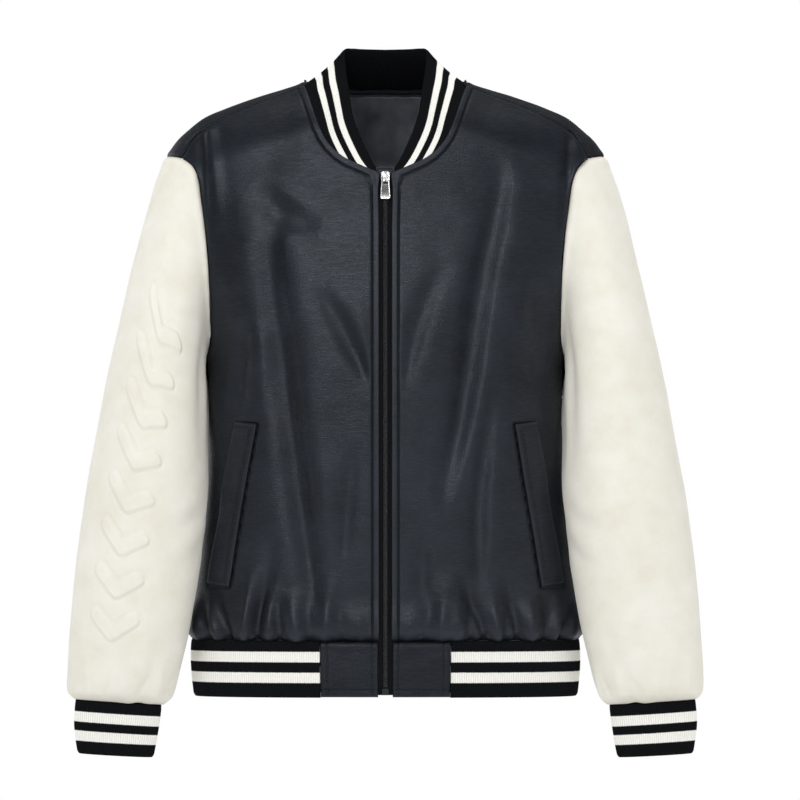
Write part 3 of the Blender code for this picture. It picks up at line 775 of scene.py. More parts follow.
def front_relief(side):
    """Heights over a front, with its strip, seams, folds, gathers, puckers and pocket, and its masks."""
    x, z = flat_front[..., 0] * side, flat_front[..., 2]
    # The raised strip along the edge, the row of topstitching that bounds it, and the swell beside the row.
    strip = 0.9 * ease_in(front_edge, -0.6, 1.0) * (1 - ease_in(front_edge, 6.2, 7.3)) - 0.3
    strip = strip - 0.8 * bell(front_edge - EDGE_STRIP, 0.9)
    strip = strip + 0.3 * ease_in(front_edge, 7.6, 11)
    seams = seam_roll(from_side, 1.2, 0.5) + seam_roll(front_top, 2.8, 0.5, TOP_ROW)
    # The hem is drawn in at its seam, and the cloth bags over it.
    hem = -2.2 * bell(from_hem, 4.0) + 2.6 * ease_in(from_hem, 2, 14) * (1 - ease_in(from_hem, 14, 48))
    loose = ease_in(front_edge, 8, 40) * ease_in(from_side, 0, 25) * ease_in(front_top, 4, 45)
    height = strip + seams + hem + front_waves(x, z, side) * loose
    height = height + front_folds(x, z, side) * ease_in(front_edge, 4, 22) * ease_in(front_top, 1, 16)
    gathered = gathers(x, z, GATHERS_LEFT if side > 0 else GATHERS_RIGHT)
    height = height + GATHER_DEPTH * gathered * ease_in(from_hem, -4, 3)
    # Puckers along the topstitching: most at the chest and above the hem.
    puckers = unevenness(x * 0.4, z, 21, 1.57 + 0.2 * side) * bell(front_edge - 10, 9)
    height = height + 0.32 * puckers * (0.5 + bell(z + 335, 45) + 0.6 * bell(z + 560, 50))
    height = height + 0.2 * unevenness(x, z * 0.3, 17, 0.1 * side) * bell(front_top - TOP_ROW, 6)
    welt_across, welt_up = pocket_welt(np.abs(x), z)
    # Distance from the pocket's mouth, over a welt about 25 wide and 180 long.
    reach = 25 * np.maximum(np.abs(welt_across - 0.5) - 0.5, 0)
    reach = reach + 180 * np.maximum(np.abs(welt_up - 0.5) - 0.5, 0)
    height = height - 1.1 * (1 - ease_in(reach, -0.5, 5))
    # Painted shade: darkens the leather in the strip's row of stitching, the side, shoulder and hem seams,
    # and round the pocket's welt.
    groove_shade = bell(front_edge - EDGE_STRIP, 1.0) * 0.95 + bell(from_side, 1.4) + bell(front_top, 2.0)
    groove_shade = groove_shade + bell(from_hem, 2.5) + 0.9 * bell(reach, 1.8) * (reach > 0)
    rubbed = 0.30 * bell(front_edge - 1.0, 1.4) + 0.25 * bell(front_top - 3.2, 2.0)
    rubbed = rubbed + 0.2 * bell(from_side - 3.2, 2)
    return height, np.clip(groove_shade, 0, 0.95), np.clip(rubbed, 0, 1)


front_shapes = {}
for name, side in SIDES:
    height, groove_shade, rubbed = front_relief(side)
    points = mirrored_x(lifted(flat_front, height), side)
    front_shapes[name] = points
    front = surface(f"{name}_front", points, (body_leather, lining_satin), LEATHER, turned=side < 0,
                    masks={"groove_shade": groove_shade, "rubbed": rubbed})
    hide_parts(f"front_{name}")


# The back: one panel of the same faux leather, from the hem up over the ridge of the shoulders to seams
# that lie a little way down the front. It hangs from the shoulders in long soft folds, and bags over the hem.

BACK_FOLDS = (
    ((-6, -70, 0, 20, 0), (-10, -150, -1.0, 22, 0.6), (-4, -260, -1.6, 22, 0.8), (-12, -380, -1.2, 20, 0.6),
     (-10, -470, 0, 18, 0)),
    ((-212, -70, 0, 7, 0), (-205, -130, -2.4, 9, 1.5), (-182, -215, -2.6, 12, 1.5),
     (-160, -300, -1.4, 13, 0.8), (-150, -360, 0, 12, 0)),
    ((213, -66, 0, 7, 0), (207, -118, -2.2, 9, 1.4), (188, -200, -2.8, 12, 1.5),
     (168, -280, -1.7, 13, 1.0), (152, -352, 0, 12, 0)),
    ((-120, -150, 0, 15, 0), (-112, -240, -2.0, 17, 1.2), (-94, -350, -3.0, 16, 1.6),
     (-88, -460, -2.4, 15, 1.2), (-92, -570, 0, 12, 0)),
    ((104, -190, 0, 15, 0), (98, -290, -2.2, 17, 1.2), (78, -400, -3.0, 16, 1.5), (66, -510, -1.8, 14, 0.9),
     (62, -585, 0, 11, 0)),
    ((182, -350, 0, 12, 0), (160, -395, -1.8, 12, 1.0), (128, -430, -2.0, 12, 1.0), (96, -452, 0, 11, 0)),
    ((-186, -372, 0, 12, 0), (-166, -420, -2.0, 12, 1.0), (-134, -462, -1.8, 12, 1.0),
     (-104, -486, 0, 11, 0)),
    ((-60, -84, 0, 16, 0), (-20, -100, -1.1, 15, 0.5), (30, -102, -1.2, 15, 0.5), (72, -88, 0, 16, 0)),
    ((20, -470, 0, 12, 0), (14, -530, -1.8, 12, 0.9), (18, -590, 0, 10, 0)),
)
GATHERS_BACK = (
    (-208, -205, -580, -1.8, 4), (-192, -197, -566, 1.8, 5), (-177, -170, -548, -2.6, 5.5),
    (-160, -156, -572, 2.0, 5), (-141, -139, -585, -1.6, 4.5), (-124, -128, -560, 2.0, 7),
    (-102, -96, -545, -2.6, 6), (-84, -86, -580, 1.8, 5.5), (-66, -62, -570, -1.8, 5),
    (-47, -48, -556, 1.7, 6.5), (-27, -24, -582, -1.6, 5), (-8, -10, -562, 2.0, 6.5),
    (12, 15, -550, -2.4, 6), (31, 28, -580, 1.6, 5),
    (49, 55, -566, -1.6, 5.5), (68, 66, -548, 1.8, 7), (90, 86, -572, -2.2, 5.5), (108, 111, -586, 1.5, 5),
    (127, 122, -556, -2.4, 5.5), (147, 149, -570, 2.0, 6), (165, 160, -580, -1.8, 4.5),
    (181, 186, -558, 1.7, 5), (197, 201, -574, -2.0, 4.5), (209, 210, -586, 1.2, 3.5),
)


def back_lines():
    """Turn and fall of half of the back's own grid, from its centre line to the side and armhole."""
    neck = np.array(NECKLINE[NECK_CORNER:][::-1], float)
    seam = shoulder_seam()
    neck_turn = turn_of(neck[:, 0], neck[:, 1])
    neck_fall = fall_of(neck[:, 0], neck[:, 1], neck[:, 2])
    top = np.concatenate((neck_turn[:-1], seam[0])), np.concatenate((neck_fall[:-1], seam[1]))
    low = np.array(LEVELS, float)
    rise = armhole(np.arange(165, -1, -15), -1)
    over = armhole(np.arange(15, FRONT_ARMHOLE_TOP + 1, 15), 1)
    side = np.full(len(low), math.pi / 2), level(np.full(len(low), math.pi / 2), low, -1)
    outer = tuple(np.concatenate((side[i], rise[i], over[i])) for i in (0, 1))
    climb = 1 - np.linspace(1, 0, len(outer[0]) - len(low) + 1)[1:] ** 1.4
    low_fall = level(0.0, UNDERARM, -1)
    centre = low_fall + (top[1][0] - low_fall) * climb
    inner = np.zeros(len(outer[0])), np.concatenate((level(np.zeros(len(low)), low, -1), centre))
    turns, falls = panel(inner, outer, top, top[0] / top[0][-1], -1)
    whole_turns = np.concatenate((-turns[:, :0:-1], turns), axis=1)
    return whole_turns, np.concatenate((falls[:, :0:-1], falls), axis=1)


turns, falls = back_lines()
# Even out the lines between the edges, which bend sharply under the corners of the neck.
for _ in range(60):
    for lines in (turns, falls):
        lines[1:-1, 1:-1] += 0.25 * (lines[2:, 1:-1] + lines[:-2, 1:-1] + lines[1:-1, 2:] + lines[1:-1, :-2]
                                     - 4 * lines[1:-1, 1:-1])
turns, falls = finer(turns, falls, row_places(176, 8, 0.012), np.linspace(0, turns.shape[1] - 1, 180))
side_columns = (0, 0.8, 1.8, 3, 4.6, 6.6)
turns, falls, from_right, from_left = spaced(turns, falls, side_columns, side_columns, 122)
flat_back = torso(turns, falls)
x, z = flat_back[..., 0], flat_back[..., 2]
from_top = edge_distance(flat_back, flat_back[-1])
from_hem = run_lengths(flat_back, 0)
from_side = np.minimum(from_right, from_left)
behind = ease_in(-falls, -8, 30)


def back_folds(x, z, falls):
    """Height of the back's folds, which fade out towards the ridge of the shoulders."""
    return 1.5 * folds(x, z, BACK_FOLDS) * ease_in(-falls, 10, 50)


# The seam is flat beside the collar and deep over the shoulders.
top_seam = seam_roll(from_top, 0.9 + 1.9 * ease_in(np.abs(x), 96, 112), 0.9, TOP_ROW)
height = seam_roll(from_side, 1.2, 0.5) + top_seam
height = height - 2.2 * bell(from_hem, 4.0) + 2.8 * ease_in(from_hem, 2, 14) * (1 - ease_in(from_hem, 14, 50))
loose = ease_in(from_side, 0, 25) * ease_in(from_top, 4, 45)
height = height + loose * (0.6 * unevenness(x, z, 100, 0.7) + 0.18 * unevenness(x, z, 40, 1.9))
height = height + back_folds(x, z, falls)
height = height + GATHER_DEPTH * gathers(x, z, GATHERS_BACK) * behind * ease_in(from_hem, -4, 3)
height = height + 0.22 * unevenness(x, z * 0.3, 17, 0.4) * bell(from_top - 5, 6)
# Painted shade in the side, shoulder and hem seams and along the shoulder's row of stitching.
groove_shade = bell(from_side, 1.4) + bell(from_top, 2.0) + bell(from_hem, 2.5)
groove_shade = np.clip(groove_shade + 0.6 * bell(from_top - TOP_ROW, 0.8), 0, 0.85)
rubbed = 0.25 * bell(from_top - 3.2, 2.0) + 0.2 * bell(from_side - 3.2, 2.0)
back_shape = lifted(flat_back, height, side=-1)
back = surface("back_panel", back_shape, (body_leather, lining_satin), LEATHER, turned=True,
               masks={"groove_shade": groove_shade, "rubbed": rubbed})
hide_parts("back")


# The back's lining: dark satin hung a little inside the back from the neck tape, into which it is gathered.

LINING_INSET = 4.5
LINING_LEAST = 3.4  # the least distance inside the back's face
lining_z = np.concatenate((np.linspace(-612, -110, 40), np.linspace(-106, -10, 50)))[:, None]
reach = np.radians(np.interp(lining_z, (-300, -250, -100), (86, 56, 46)))
turns = reach * np.linspace(-1, 1, 124)
falls = level(np.abs(turns), lining_z * np.ones_like(turns), -1)
flat_lining = torso(turns, falls)
x, z = flat_lining[..., 0], flat_lining[..., 2]
drawn_in = ease_in(z, -95, -14)
pleats = 0.9 * np.sin(x / 2.9 + 0.8 * np.sin(x / 11)) * bell(z + 10, 34) * (0.7 + 0.3 * np.sin(x / 7.3))
hang = 1.5 * unevenness(x, z * 0.35, 46, 0.5) * (1 - drawn_in)
lining_in = LINING_INSET + 0.6 + pleats + hang - np.minimum(back_folds(x, z, falls), 0) * 0.9
lining_in = lining_in - np.minimum(GATHER_DEPTH * gathers(x, z, GATHERS_BACK), 0)
lining = surface("back_lining_cloth", torso_at(turns, falls, -np.maximum(lining_in, LINING_LEAST)),
                 (lining_satin,), 0.6, turned=True)
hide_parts("back_lining")

# A narrow strip of the body's leather, stitched along both edges, covers the seam of collar and lining.
TAPE_TOP, TAPE_FOOT = 3.2, 10.2  # distances below the neckline

rows = np.array(NECKLINE[NECK_CORNER + 1:], float)
rows = along(np.column_stack((np.arange(len(rows)), rows)), np.linspace(0, len(rows) - 1, 60)).T
turn, fall = turn_of(rows[:, 0], rows[:, 1]), fall_of(rows[:, 0], rows[:, 1], -1)
turn, fall = np.concatenate((turn, -turn[-2::-1])), np.concatenate((fall, fall[-2::-1]))
below = np.linspace(TAPE_FOOT, TAPE_TOP, 9)[:, None]
swell = 0.5 * np.sin(np.linspace(0, math.pi, 9))[:, None] ** 0.5
swell = swell - 0.25 * bell(np.minimum(below - TAPE_TOP, TAPE_FOOT - below) - 1.4, 0.5)
strip = torso_at(turn + 0 * below, fall - below, -2.5 - swell * np.ones_like(turn))
unworn = np.zeros(strip.shape[:2])
neck_tape = surface("neck_tape_strip", strip, (body_leather,), 0.8, turned=True,
                    masks={"groove_shade": unworn, "rubbed": unworn + 0.12})
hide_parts("neck_tape")


# The sleeves: cream faux leather with a dry, faintly mottled face, set into round armholes and closed by
# a seam under the arm. Each puffs over its cuff. The right one carries a soft raised motif down its front.

# Rings of a sleeve: outermost x, z, innermost x, z, centre y, half depth, share of the armhole's shape.
SLEEVE = (
    (242.5, -82.5, 199, -300, 0, 75, 1),
    (249, -97, 200, -308, -5, 75, 0.85),
    (256.5, -118, 199.5, -319, -12, 74.5, 0.66),
    (265.5, -150, 198, -334, -21, 73.5, 0.44),
    (276.5, -195, 196, -355, -32, 72, 0.22),
    (289.5, -250, 195.5, -384, -43, 70, 0.07),
    (304, -315, 198, -422, -51, 67, 0),
    (317, -385, 202, -465, -57, 64, 0),
    (330, -455, 207, -511, -60, 60.5, 0),
    (339.5, -525, 212, -560, -61, 56, 0),
    (346, -590, 217.5, -609, -60, 50, 0),
    (349.5, -640, 226, -648, -58, 42.5, 0),
    (349.5, -669, 234, -674.5, -57, 34, 0),
    (346, -677.5, 239, -683, -56, 26, 0),
    (341.5, -681, 244.5, -687, -56, 20, 0),
)

# Creases of a sleeve: degrees round from its outer line through its front, distance down from the
# shoulder's end, height, width, lip. Those of the right sleeve are these, a little changed.
SLEEVE_FOLDS = (
    ((62, 30, 0, 12, 0), (74, 70, -1.2, 13, 0.6), (84, 130, -1.3, 12, 0.6), (92, 190, 0, 11, 0)),
    ((128, 20, 0, 8, 0), (132, 70, -2.2, 9, 1.4), (140, 140, -2.2, 11, 1.3), (150, 220, 0, 10, 0)),
    ((158, 40, 0, 8, 0), (166, 90, -2.4, 10, 1.4), (172, 160, -1.8, 12, 1.0), (176, 240, 0, 11, 0)),
    ((214, 24, 0, 8, 0), (208, 80, -2.4, 10, 1.4), (204, 160, -2.0, 12, 1.2), (206, 250, 0, 11, 0)),
    ((240, 30, 0, 9, 0), (250, 100, -1.8, 11, 1.0), (262, 190, 0, 11, 0)),
    ((170, 255, 0, 9, 0), (146, 290, -2.2, 10, 1.3), (122, 312, -1.4, 11, 0.8), (100, 322, 0, 10, 0)),
    ((178, 300, 0, 9, 0), (156, 332, -2.0, 10, 1.2), (136, 352, -1.2, 10, 0.6), (118, 360, 0, 9, 0)),
    ((186, 270, 0, 9, 0), (214, 300, -2.6, 10, 1.5), (242, 318, -2.0, 11, 1.1), (272, 322, 0, 10, 0)),
    ((190, 318, 0, 9, 0), (218, 346, -2.4, 10, 1.3), (250, 362, -1.6, 11, 0.9), (280, 364, 0, 10, 0)),
    ((300, 200, 0, 12, 0), (306, 290, -1.6, 14, 0.8), (300, 380, -1.4, 14, 0.7), (292, 450, 0, 12, 0)),
    ((128, 420, 0, 9, 0), (122, 470, -1.6, 10, 0.8), (112, 530, -1.4, 9, 0.8), (108, 570, 0, 8, 0)),
    ((232, 420, 0, 9, 0), (240, 490, -1.8, 10, 1.0), (250, 560, 0, 9, 0)),
)
# Gathers at the cuff: degrees round at the cuff, and where each ends above it, rise, height, width.
SLEEVE_GATHERS = (
    (18, 22, 30, -1.5, 4), (44, 40, 46, 1.6, 5), (66, 70, 26, -1.6, 4), (84, 78, 44, 2.0, 5),
    (104, 112, 32, -2.4, 4), (126, 120, 56, 1.8, 6), (143, 148, 34, -1.8, 4), (164, 158, 48, 1.6, 5),
    (190, 196, 36, -2.0, 5), (214, 206, 58, 2.0, 6), (234, 240, 34, -2.2, 4), (256, 250, 52, 1.8, 6),
    (278, 284, 30, -1.8, 4), (300, 296, 44, 1.8, 5), (322, 328, 34, -1.6, 4), (344, 340, 48, 1.4, 5),
)


def armhole_loop(degrees):
    """The armhole's points all round, from its top, down the front and up the back."""
    folded = np.where(degrees > 180, 360 - degrees, degrees)
    front, back = torso(*armhole(folded, 1)), torso(*armhole(folded, -1))
    return np.where((degrees > 180)[:, None], back, front)


def ring(rows, degrees):
    """Ellipses through a tube's outermost and innermost points, with the front at a quarter turn."""
    outer_x, outer_z, inner_x, inner_z, centre_y, half_depth = (column[:, None] for column in rows.T[:6])
    across = np.cos(np.radians(degrees)) / 2
    x = (outer_x + inner_x) / 2 + (outer_x - inner_x) * across
    z = (outer_z + inner_z) / 2 + (outer_z - inner_z) * across
    return np.stack((x, centre_y - half_depth * np.sin(np.radians(degrees)), z), axis=-1)


def sleeve_tube(places, degrees):
    """The sleeve's rings at places along it, 0 at the armhole: ellipses that start in the armhole's shape."""
    table = np.column_stack((np.arange(len(SLEEVE)), SLEEVE))
    rows = along(table, places * (len(SLEEVE) - 1)).T
    own_shape = armhole_loop(degrees) - ring(np.array(SLEEVE[:1], float), degrees)[0]
    return ring(rows, degrees) + rows[:, 6][:, None, None] * own_shape


def even_places(degrees, count):
    """Places along the sleeve whose rings are evenly apart down its front, closer at both ends."""
    rough = np.linspace(0, 1, 400)
    run = run_lengths(sleeve_tube(rough, degrees), 0).mean(axis=1)
    ends = np.linspace(0, 9, 7, endpoint=False)
    wanted = np.concatenate((ends, np.linspace(9, run[-1] - 40, count), run[-1] - np.linspace(38, 0, 24)))
    return np.interp(wanted, run, rough), wanted


CHEVRON_PITCH = 46.0
CHEVRON_ARM = 30.0  # from the motif's centre line to the end of each arm
CHEVRON_HALF = 7.5  # half of a bar's width
CHEVRON_LOW = 22.0  # from the motif's top to the middle of its first bar
MOTIF_TOP, MOTIF_FOOT = 100.0, 468.0  # distances down the sleeve between which the motif lies
MOTIF_LINE = ((0, 78, 0), (100, 78, 0), (468, 75, 0))  # distance down, degrees round


def chevrons(aside, down):
    """Heights of a column of raised V-shaped bars with rounded ends, from each point's distance to the
    nearest bar's middle line: full height inside, a soft shoulder, and a faint pressed line round it."""
    steps = np.round((down - MOTIF_TOP - CHEVRON_LOW) / CHEVRON_PITCH)
    count = int((MOTIF_FOOT - MOTIF_TOP) / CHEVRON_PITCH)
    nearest = np.full_like(aside, 1e3)
    for shift in (-1, 0, 1):
        step = np.clip(steps + shift, 0, count - 1)
        low = down - (MOTIF_TOP + CHEVRON_LOW + step * CHEVRON_PITCH)
        arm = np.array((0.78, -0.62)) * CHEVRON_ARM
        along_arm = np.clip((np.abs(aside) * arm[0] + (low - 10) * arm[1]) / (arm ** 2).sum(), 0, 1)
        gap = np.hypot(np.abs(aside) - along_arm * arm[0], low - 10 - along_arm * arm[1])
        nearest = np.minimum(nearest, gap)
    return 2.4 * (1 - ease_in(nearest, CHEVRON_HALF - 2.2, CHEVRON_HALF + 1.0)) - 0.8 * bell(
        nearest - CHEVRON_HALF - 2.0, 1.5)


CREAM = (0.815, 0.795, 0.715)
CREAM_WARM = (0.765, 0.735, 0.640)
# Next: a darker cream, painted shade for the seams and where the sleeve meets the cuff.
CREAM_SHADED = (0.640, 0.605, 0.520)
CREAM_LIGHT = (0.875, 0.862, 0.795)

sleeve_leather, tree, shader, place = new_material("sleeve_leather")
skin = use_group(tree, leather_skin, Vector=place, Pebble=0.0014, Streak=0.25)
blotches = noise(tree, place, (0.030, 0.030, 0.030), 5.0, 0.6)
colour = blended(tree, ranged(tree, blotches, 0.35, 0.68), CREAM, CREAM_WARM)
colour = blended(tree, ranged(tree, skin["Mottle"], 0.5, 0.75, 0.0, 0.6), colour, CREAM_LIGHT)
# Painted shade: the groove mask darkens the cream in the seams.
colour = blended(tree, attribute(tree, "groove_shade"), colour, CREAM_SHADED)
tree.links.new(colour, shader["Base Color"])
tree.links.new(ranged(tree, blotches, 0.3, 0.7, 0.62, 0.74), shader["Roughness"])
nap = noise(tree, place, (0.0016, 0.0016, 0.0016), 4.0, 0.6)
nap_height = math_of(tree, "MULTIPLY_ADD", nap, 0.8, skin["Height"])
nap_height = math_of(tree, "MULTIPLY_ADD", blotches, 1.6, nap_height)
embossed(tree, shader, nap_height, 0.4, 0.0004)
shader["Specular IOR Level"].default_value = 0.3
shader["Sheen Weight"].default_value = 0.12
shader["Sheen Roughness"].default_value = 0.6

for name, side in SIDES:
    # The right sleeve's grid is finer where the motif lies.
    if side > 0:
        degrees, count = np.arange(0, 360, 2.5), 196
    else:
        degrees = np.concatenate((np.arange(0, 44, 3.0), np.arange(44, 118, 1.15), np.arange(118, 360, 3.2)))
        count = 262
    places, down = even_places(degrees, count)
    tube = sleeve_tube(places, degrees)
    girth = run_lengths(tube, 1)[:, -1].mean() / 360
    round_it = degrees + 0 * down[:, None]
    down_it = down[:, None] + 0 * degrees
    height = np.zeros_like(round_it)
    for path in SLEEVE_FOLDS:
        path = np.array(path, float)
        if side < 0:
            path = path * (1, 1.03, 0.9, 1.06, 1) + (4, -6, 0, 0, 0)
        path[:, 0] *= girth
        height = height + fold(round_it * girth, down_it, path)
    cuff_at = down[-1] - 6
    turn = 0 if side > 0 else 9
    for foot, head, rise, tall, wide in SLEEVE_GATHERS:
        at = np.array(((foot + turn, cuff_at + 8, tall, wide, 0),
                       (foot + turn, cuff_at - 0.4 * rise, tall, 1.1 * wide, 0),
                       (head + turn, cuff_at - rise, 0.3 * tall, 1.4 * wide, 0),
                       (head + turn, cuff_at - 1.5 * rise, 0, 1.5 * wide, 0)))
        at[:, 0] *= girth
        height = height + fold(round_it * girth, down_it, at) * ease_in(cuff_at - down_it, -2, 10)
    x, y, z = tube[..., 0], tube[..., 1], tube[..., 2]
    wave = 0.7 * unevenness(round_it * girth, down_it, 108, 0.6 * side) + 0.2 * unevenness(y, z, 42, side)
    height = height + wave * ease_in(down_it, 5, 50) * ease_in(down[-1] - down_it, 5, 40)
    height = height - 1.3 * bell(down_it, 2.0) + 0.9 * bell(down_it - 7, 5.0)
    height = height + 0.35 * unevenness(round_it * girth, down_it * 0.4, 15, side) * bell(down_it - 5, 7)
    under = np.abs(round_it - 180) * girth  # distance from the seam under the arm
    height = height - 0.9 * bell(under, 1.8) + 0.3 * bell(under - 5, 2.6)
    # The sleeve bags out a little towards the body.
    bagged = ease_in(down_it, 150, 260) * ease_in(down[-1] - down_it, 60, 200)
    height = height + 6.0 * bell(under, 60) * bagged
    if side < 0:
        centre = along(MOTIF_LINE, down_it)[0]
        aside = (round_it - centre) * girth
        height = height + chevrons(aside, down_it) * ease_in(45 - np.abs(aside), 0, 6)
    points = lifted(tube, height, closed=True)
    # The allowance at the armhole, turned in under the fronts and the back.
    tuck = points[1] - points[0]
    tuck = tuck / np.linalg.norm(tuck, axis=-1, keepdims=True)
    allowance = points[:1] - 5.0 * tuck - 3.0 * facing(tube, closed=True)[:1]
    points = mirrored_x(np.concatenate((allowance, points)), side)
    # Painted shade in the armhole seam, the seam under the arm, and where the sleeve is drawn into the cuff.
    groove_shade = 0.8 * bell(down_it, 1.6) + 0.5 * bell(under, 1.3) + 0.6 * bell(down[-1] - down_it, 5)
    groove_shade = np.clip(groove_shade, 0, 0.85)
    sleeve = surface(f"{name}_sleeve", points, (sleeve_leather, lining_satin), LEATHER, turned=side < 0,
                     closed=True, masks={"groove_shade": np.concatenate((groove_shade[:1], groove_shade))})
    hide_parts(f"sleeve_{name}")


# Rib knit, for the collar, hem and cuffs: a thick elastic band with fine ribs that run across its width,
# knitted in black with two white stripes. Ribs are real ridges, and each band's stripes follow its own UV
# map, in which U is the distance round in metres, and V the distance from the stitched edge, or for the
# collar from its top edge. V goes on past the fold.

RIB = 3.0
RIB_PITCH = 2.5
RIB_BLACK = (0.0026, 0.0030, 0.0040)
RIB_BLACK_PALE = (0.0070, 0.0078, 0.0098)
RIB_WHITE = (0.950, 0.940, 0.895)
# Next: a darker white, painted shade for the valleys between the ribs.
RIB_WHITE_SHADED = (0.740, 0.725, 0.670)

# Knitted loops: along each rib, small V-shaped stitches, and a valley mask that paints shade between the
# ribs.
knit_loops, knit_in, knit_out = new_group(
    "knit_loops", (("UV", "Vector", None), ("Pitch", "Float", 0.0025), ("Stitch", "Float", 0.0017)),
    (("Height", "Float"), ("Valley_shade", "Float")))
parts = node(knit_loops, "SeparateXYZ", {"Vector": knit_in["UV"]}).outputs
rib_turn = math_of(knit_loops, "DIVIDE", parts["X"], knit_in["Pitch"])
rib_wave = math_of(knit_loops, "PINGPONG", rib_turn, 0.5)
lean = math_of(knit_loops, "MULTIPLY", rib_wave, 1.2)
loop_turn = math_of(knit_loops, "ADD", math_of(knit_loops, "DIVIDE", parts["Y"], knit_in["Stitch"]), lean)
loop_wave = math_of(knit_loops, "SINE", math_of(knit_loops, "MULTIPLY", loop_turn, 2 * math.pi))
knit_loops.links.new(math_of(knit_loops, "MULTIPLY_ADD", loop_wave, 0.35, rib_wave), knit_out["Height"])
knit_loops.links.new(ranged(knit_loops, rib_wave, 0.0, 0.30, 1.0, 0.0), knit_out["Valley_shade"])


def rib_material(name, edges, width):
    """Rib knit with white between each pair of edges, given as shares of the band's width in metres."""
    made, tree, shader, place = new_material(name)
    cloth = node(tree, "UVMap", uv_map="cloth").outputs["UV"]
    loops = use_group(tree, knit_loops, UV=cloth, Pitch=RIB_PITCH * MM)
    height_in_band = node(tree, "SeparateXYZ", {"Vector": cloth}).outputs["Y"]
    fuzz = noise(tree, place, (0.0009, 0.0009, 0.0009), 2.0)
    wobble = math_of(tree, "MULTIPLY_ADD", fuzz, 0.0012, height_in_band)
    colour = blended(tree, fuzz, RIB_BLACK, RIB_BLACK_PALE)
    # Painted shade: the white yarn is darkened between the ribs.
    white = blended(tree, math_of(tree, "MULTIPLY", loops["Valley_shade"], 0.75), RIB_WHITE, RIB_WHITE_SHADED)
    soft = 0.0004  # half of the width over which one yarn gives way to the other
    for low, high in edges:
        inside = math_of(tree, "MULTIPLY", ranged(tree, wobble, low * width - soft, low * width + soft),
                         ranged(tree, wobble, high * width - soft, high * width + soft, 1.0, 0.0))
        colour = blended(tree, inside, colour, white)
    tree.links.new(colour, shader["Base Color"])
    shader["Roughness"].default_value = 0.88
    embossed(tree, shader, math_of(tree, "MULTIPLY_ADD", fuzz, 0.5, loops["Height"]), 0.5, 0.0006)
    shader["Specular IOR Level"].default_value = 0.08
    return made


def ribbed(distance, height=0.42):
    """Height of the ribs at a distance round the band: rounded ridges with narrow valleys."""
    return height * (2 * np.abs(np.sin(math.pi * distance / RIB_PITCH)) ** 0.7 - 1)


def folded_band(base, out, lift, back_lift, down):
    """A band folded double: its outer face from seam to fold, round the fold, and down its inner face.

    Returns its points and its UV map's V, which goes on past the fold.
    """
    outer = base + lift[..., None] * out
    fold = base[-1:] + (base[-1:] - base[-2:-1]) * 0.9 - 0.5 * RIB * out[-1:]
    inner = (base - RIB * out - back_lift[..., None] * out)[::-2]
    seam = (base[:1] - 0.5 * RIB * out[:1]) - (base[1:2] - base[:1]) * 0.5
    points = np.concatenate((outer, fold, inner, seam))
    past = np.concatenate((down, down[-1:] - 1, -2 - down[::-2], down[:1] + 1))
    return points, past


def rib_columns(length):
    """Distances round a band, four to each rib."""
    count = int(round(length / RIB_PITCH)) * 4
    return np.linspace(0, length, count + 1)


def resampled(line, length, wanted):
    """Points of a line at wanted distances along it, where length is that of each of its own points."""
    return np.stack([np.interp(wanted, length, column) for column in line.T], axis=-1)


def by_length(table, count):
    """The table's rows resampled on a smooth curve, at even numbers of its rows."""
    table = np.asarray(table, float)
    return along(np.column_stack((np.arange(len(table)), table)), np.linspace(0, len(table) - 1, count)).T


# The collar: a standing band 59 mm wide, folded over at its top edge and sewn into the neckline.
COLLAR_SAG = 2.5
COLLAR_END = 11.0
COLLAR_WIDTH = 59.0

rows = by_length(NECKLINE, 400)
turn = turn_of(rows[:, 0], rows[:, 1])
coarse = np.array(NECKLINE, float)
coarse_fall = fall_of(coarse[:, 0], coarse[:, 1], coarse[:, 2])
fall = by_length(coarse_fall[:, None], 400)[:, 0]
seam = torso_at(turn, fall, np.full(400, -LEATHER - 0.1))
top = rows[:, 3:]
seam[0, 0] = COLLAR_END
seam[-1, 0] = 0
seam, top = (np.concatenate((line, mirrored_x(line[-2::-1], -1))) for line in (seam, top))
length = run_lengths((seam + top)[:, None] / 2, 0)[:, 0]
wanted = rib_columns(length[-1])
seam, top = resampled(seam, length, wanted), resampled(top, length, wanted)
run = np.gradient(top, axis=0)
out = np.cross(run, top - seam)
out /= np.linalg.norm(out, axis=-1, keepdims=True)
middle = np.abs(wanted - wanted[-1] / 2)
out[:, 0] *= ease_in(middle, 0, 8)
shares = np.concatenate((np.linspace(0, 0.1, 4), np.linspace(0.17, 0.93, 12), (0.965, 0.985, 1.0)))
sag = COLLAR_SAG * 4 * shares * (1 - shares)
band = np.linalg.norm(top - seam, axis=-1)
rise = shares[:, None, None]
collar = seam + (top - seam) * rise - out * (sag[:, None] * band / COLLAR_WIDTH)[..., None]
stitched_in = 1 - bell(shares[:, None] * band, 3.0)
wave = 0.5 * unevenness(wanted + 0 * shares[:, None], shares[:, None] * 40, 60, 0.3)
wave = wave * np.sin(math.pi * shares)[:, None]
edge_roll = -0.9 * ease_in(shares, 0.93, 1.0)[:, None] ** 2
ribs = ribbed(wanted) * stitched_in * (1 - 0.6 * ease_in(shares, 0.95, 1.0))[:, None]
# V is the distance down from the top edge, so that stripes run level and are cut across at the front seam.
down = (1 - shares)[:, None] * band
collar, down = folded_band(collar, out + 0 * collar, ribs + wave + edge_roll, ribs - wave + edge_roll, down)
band_uv = np.stack((wanted + 0 * down, down), axis=-1) * MM
collar_rib = rib_material("collar_rib", ((0.274, 0.430), (0.592, 0.742)), COLLAR_WIDTH * MM)
collar_piece = surface("collar_rib", collar, (collar_rib,), looped=True, uv=band_uv)
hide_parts("collar")

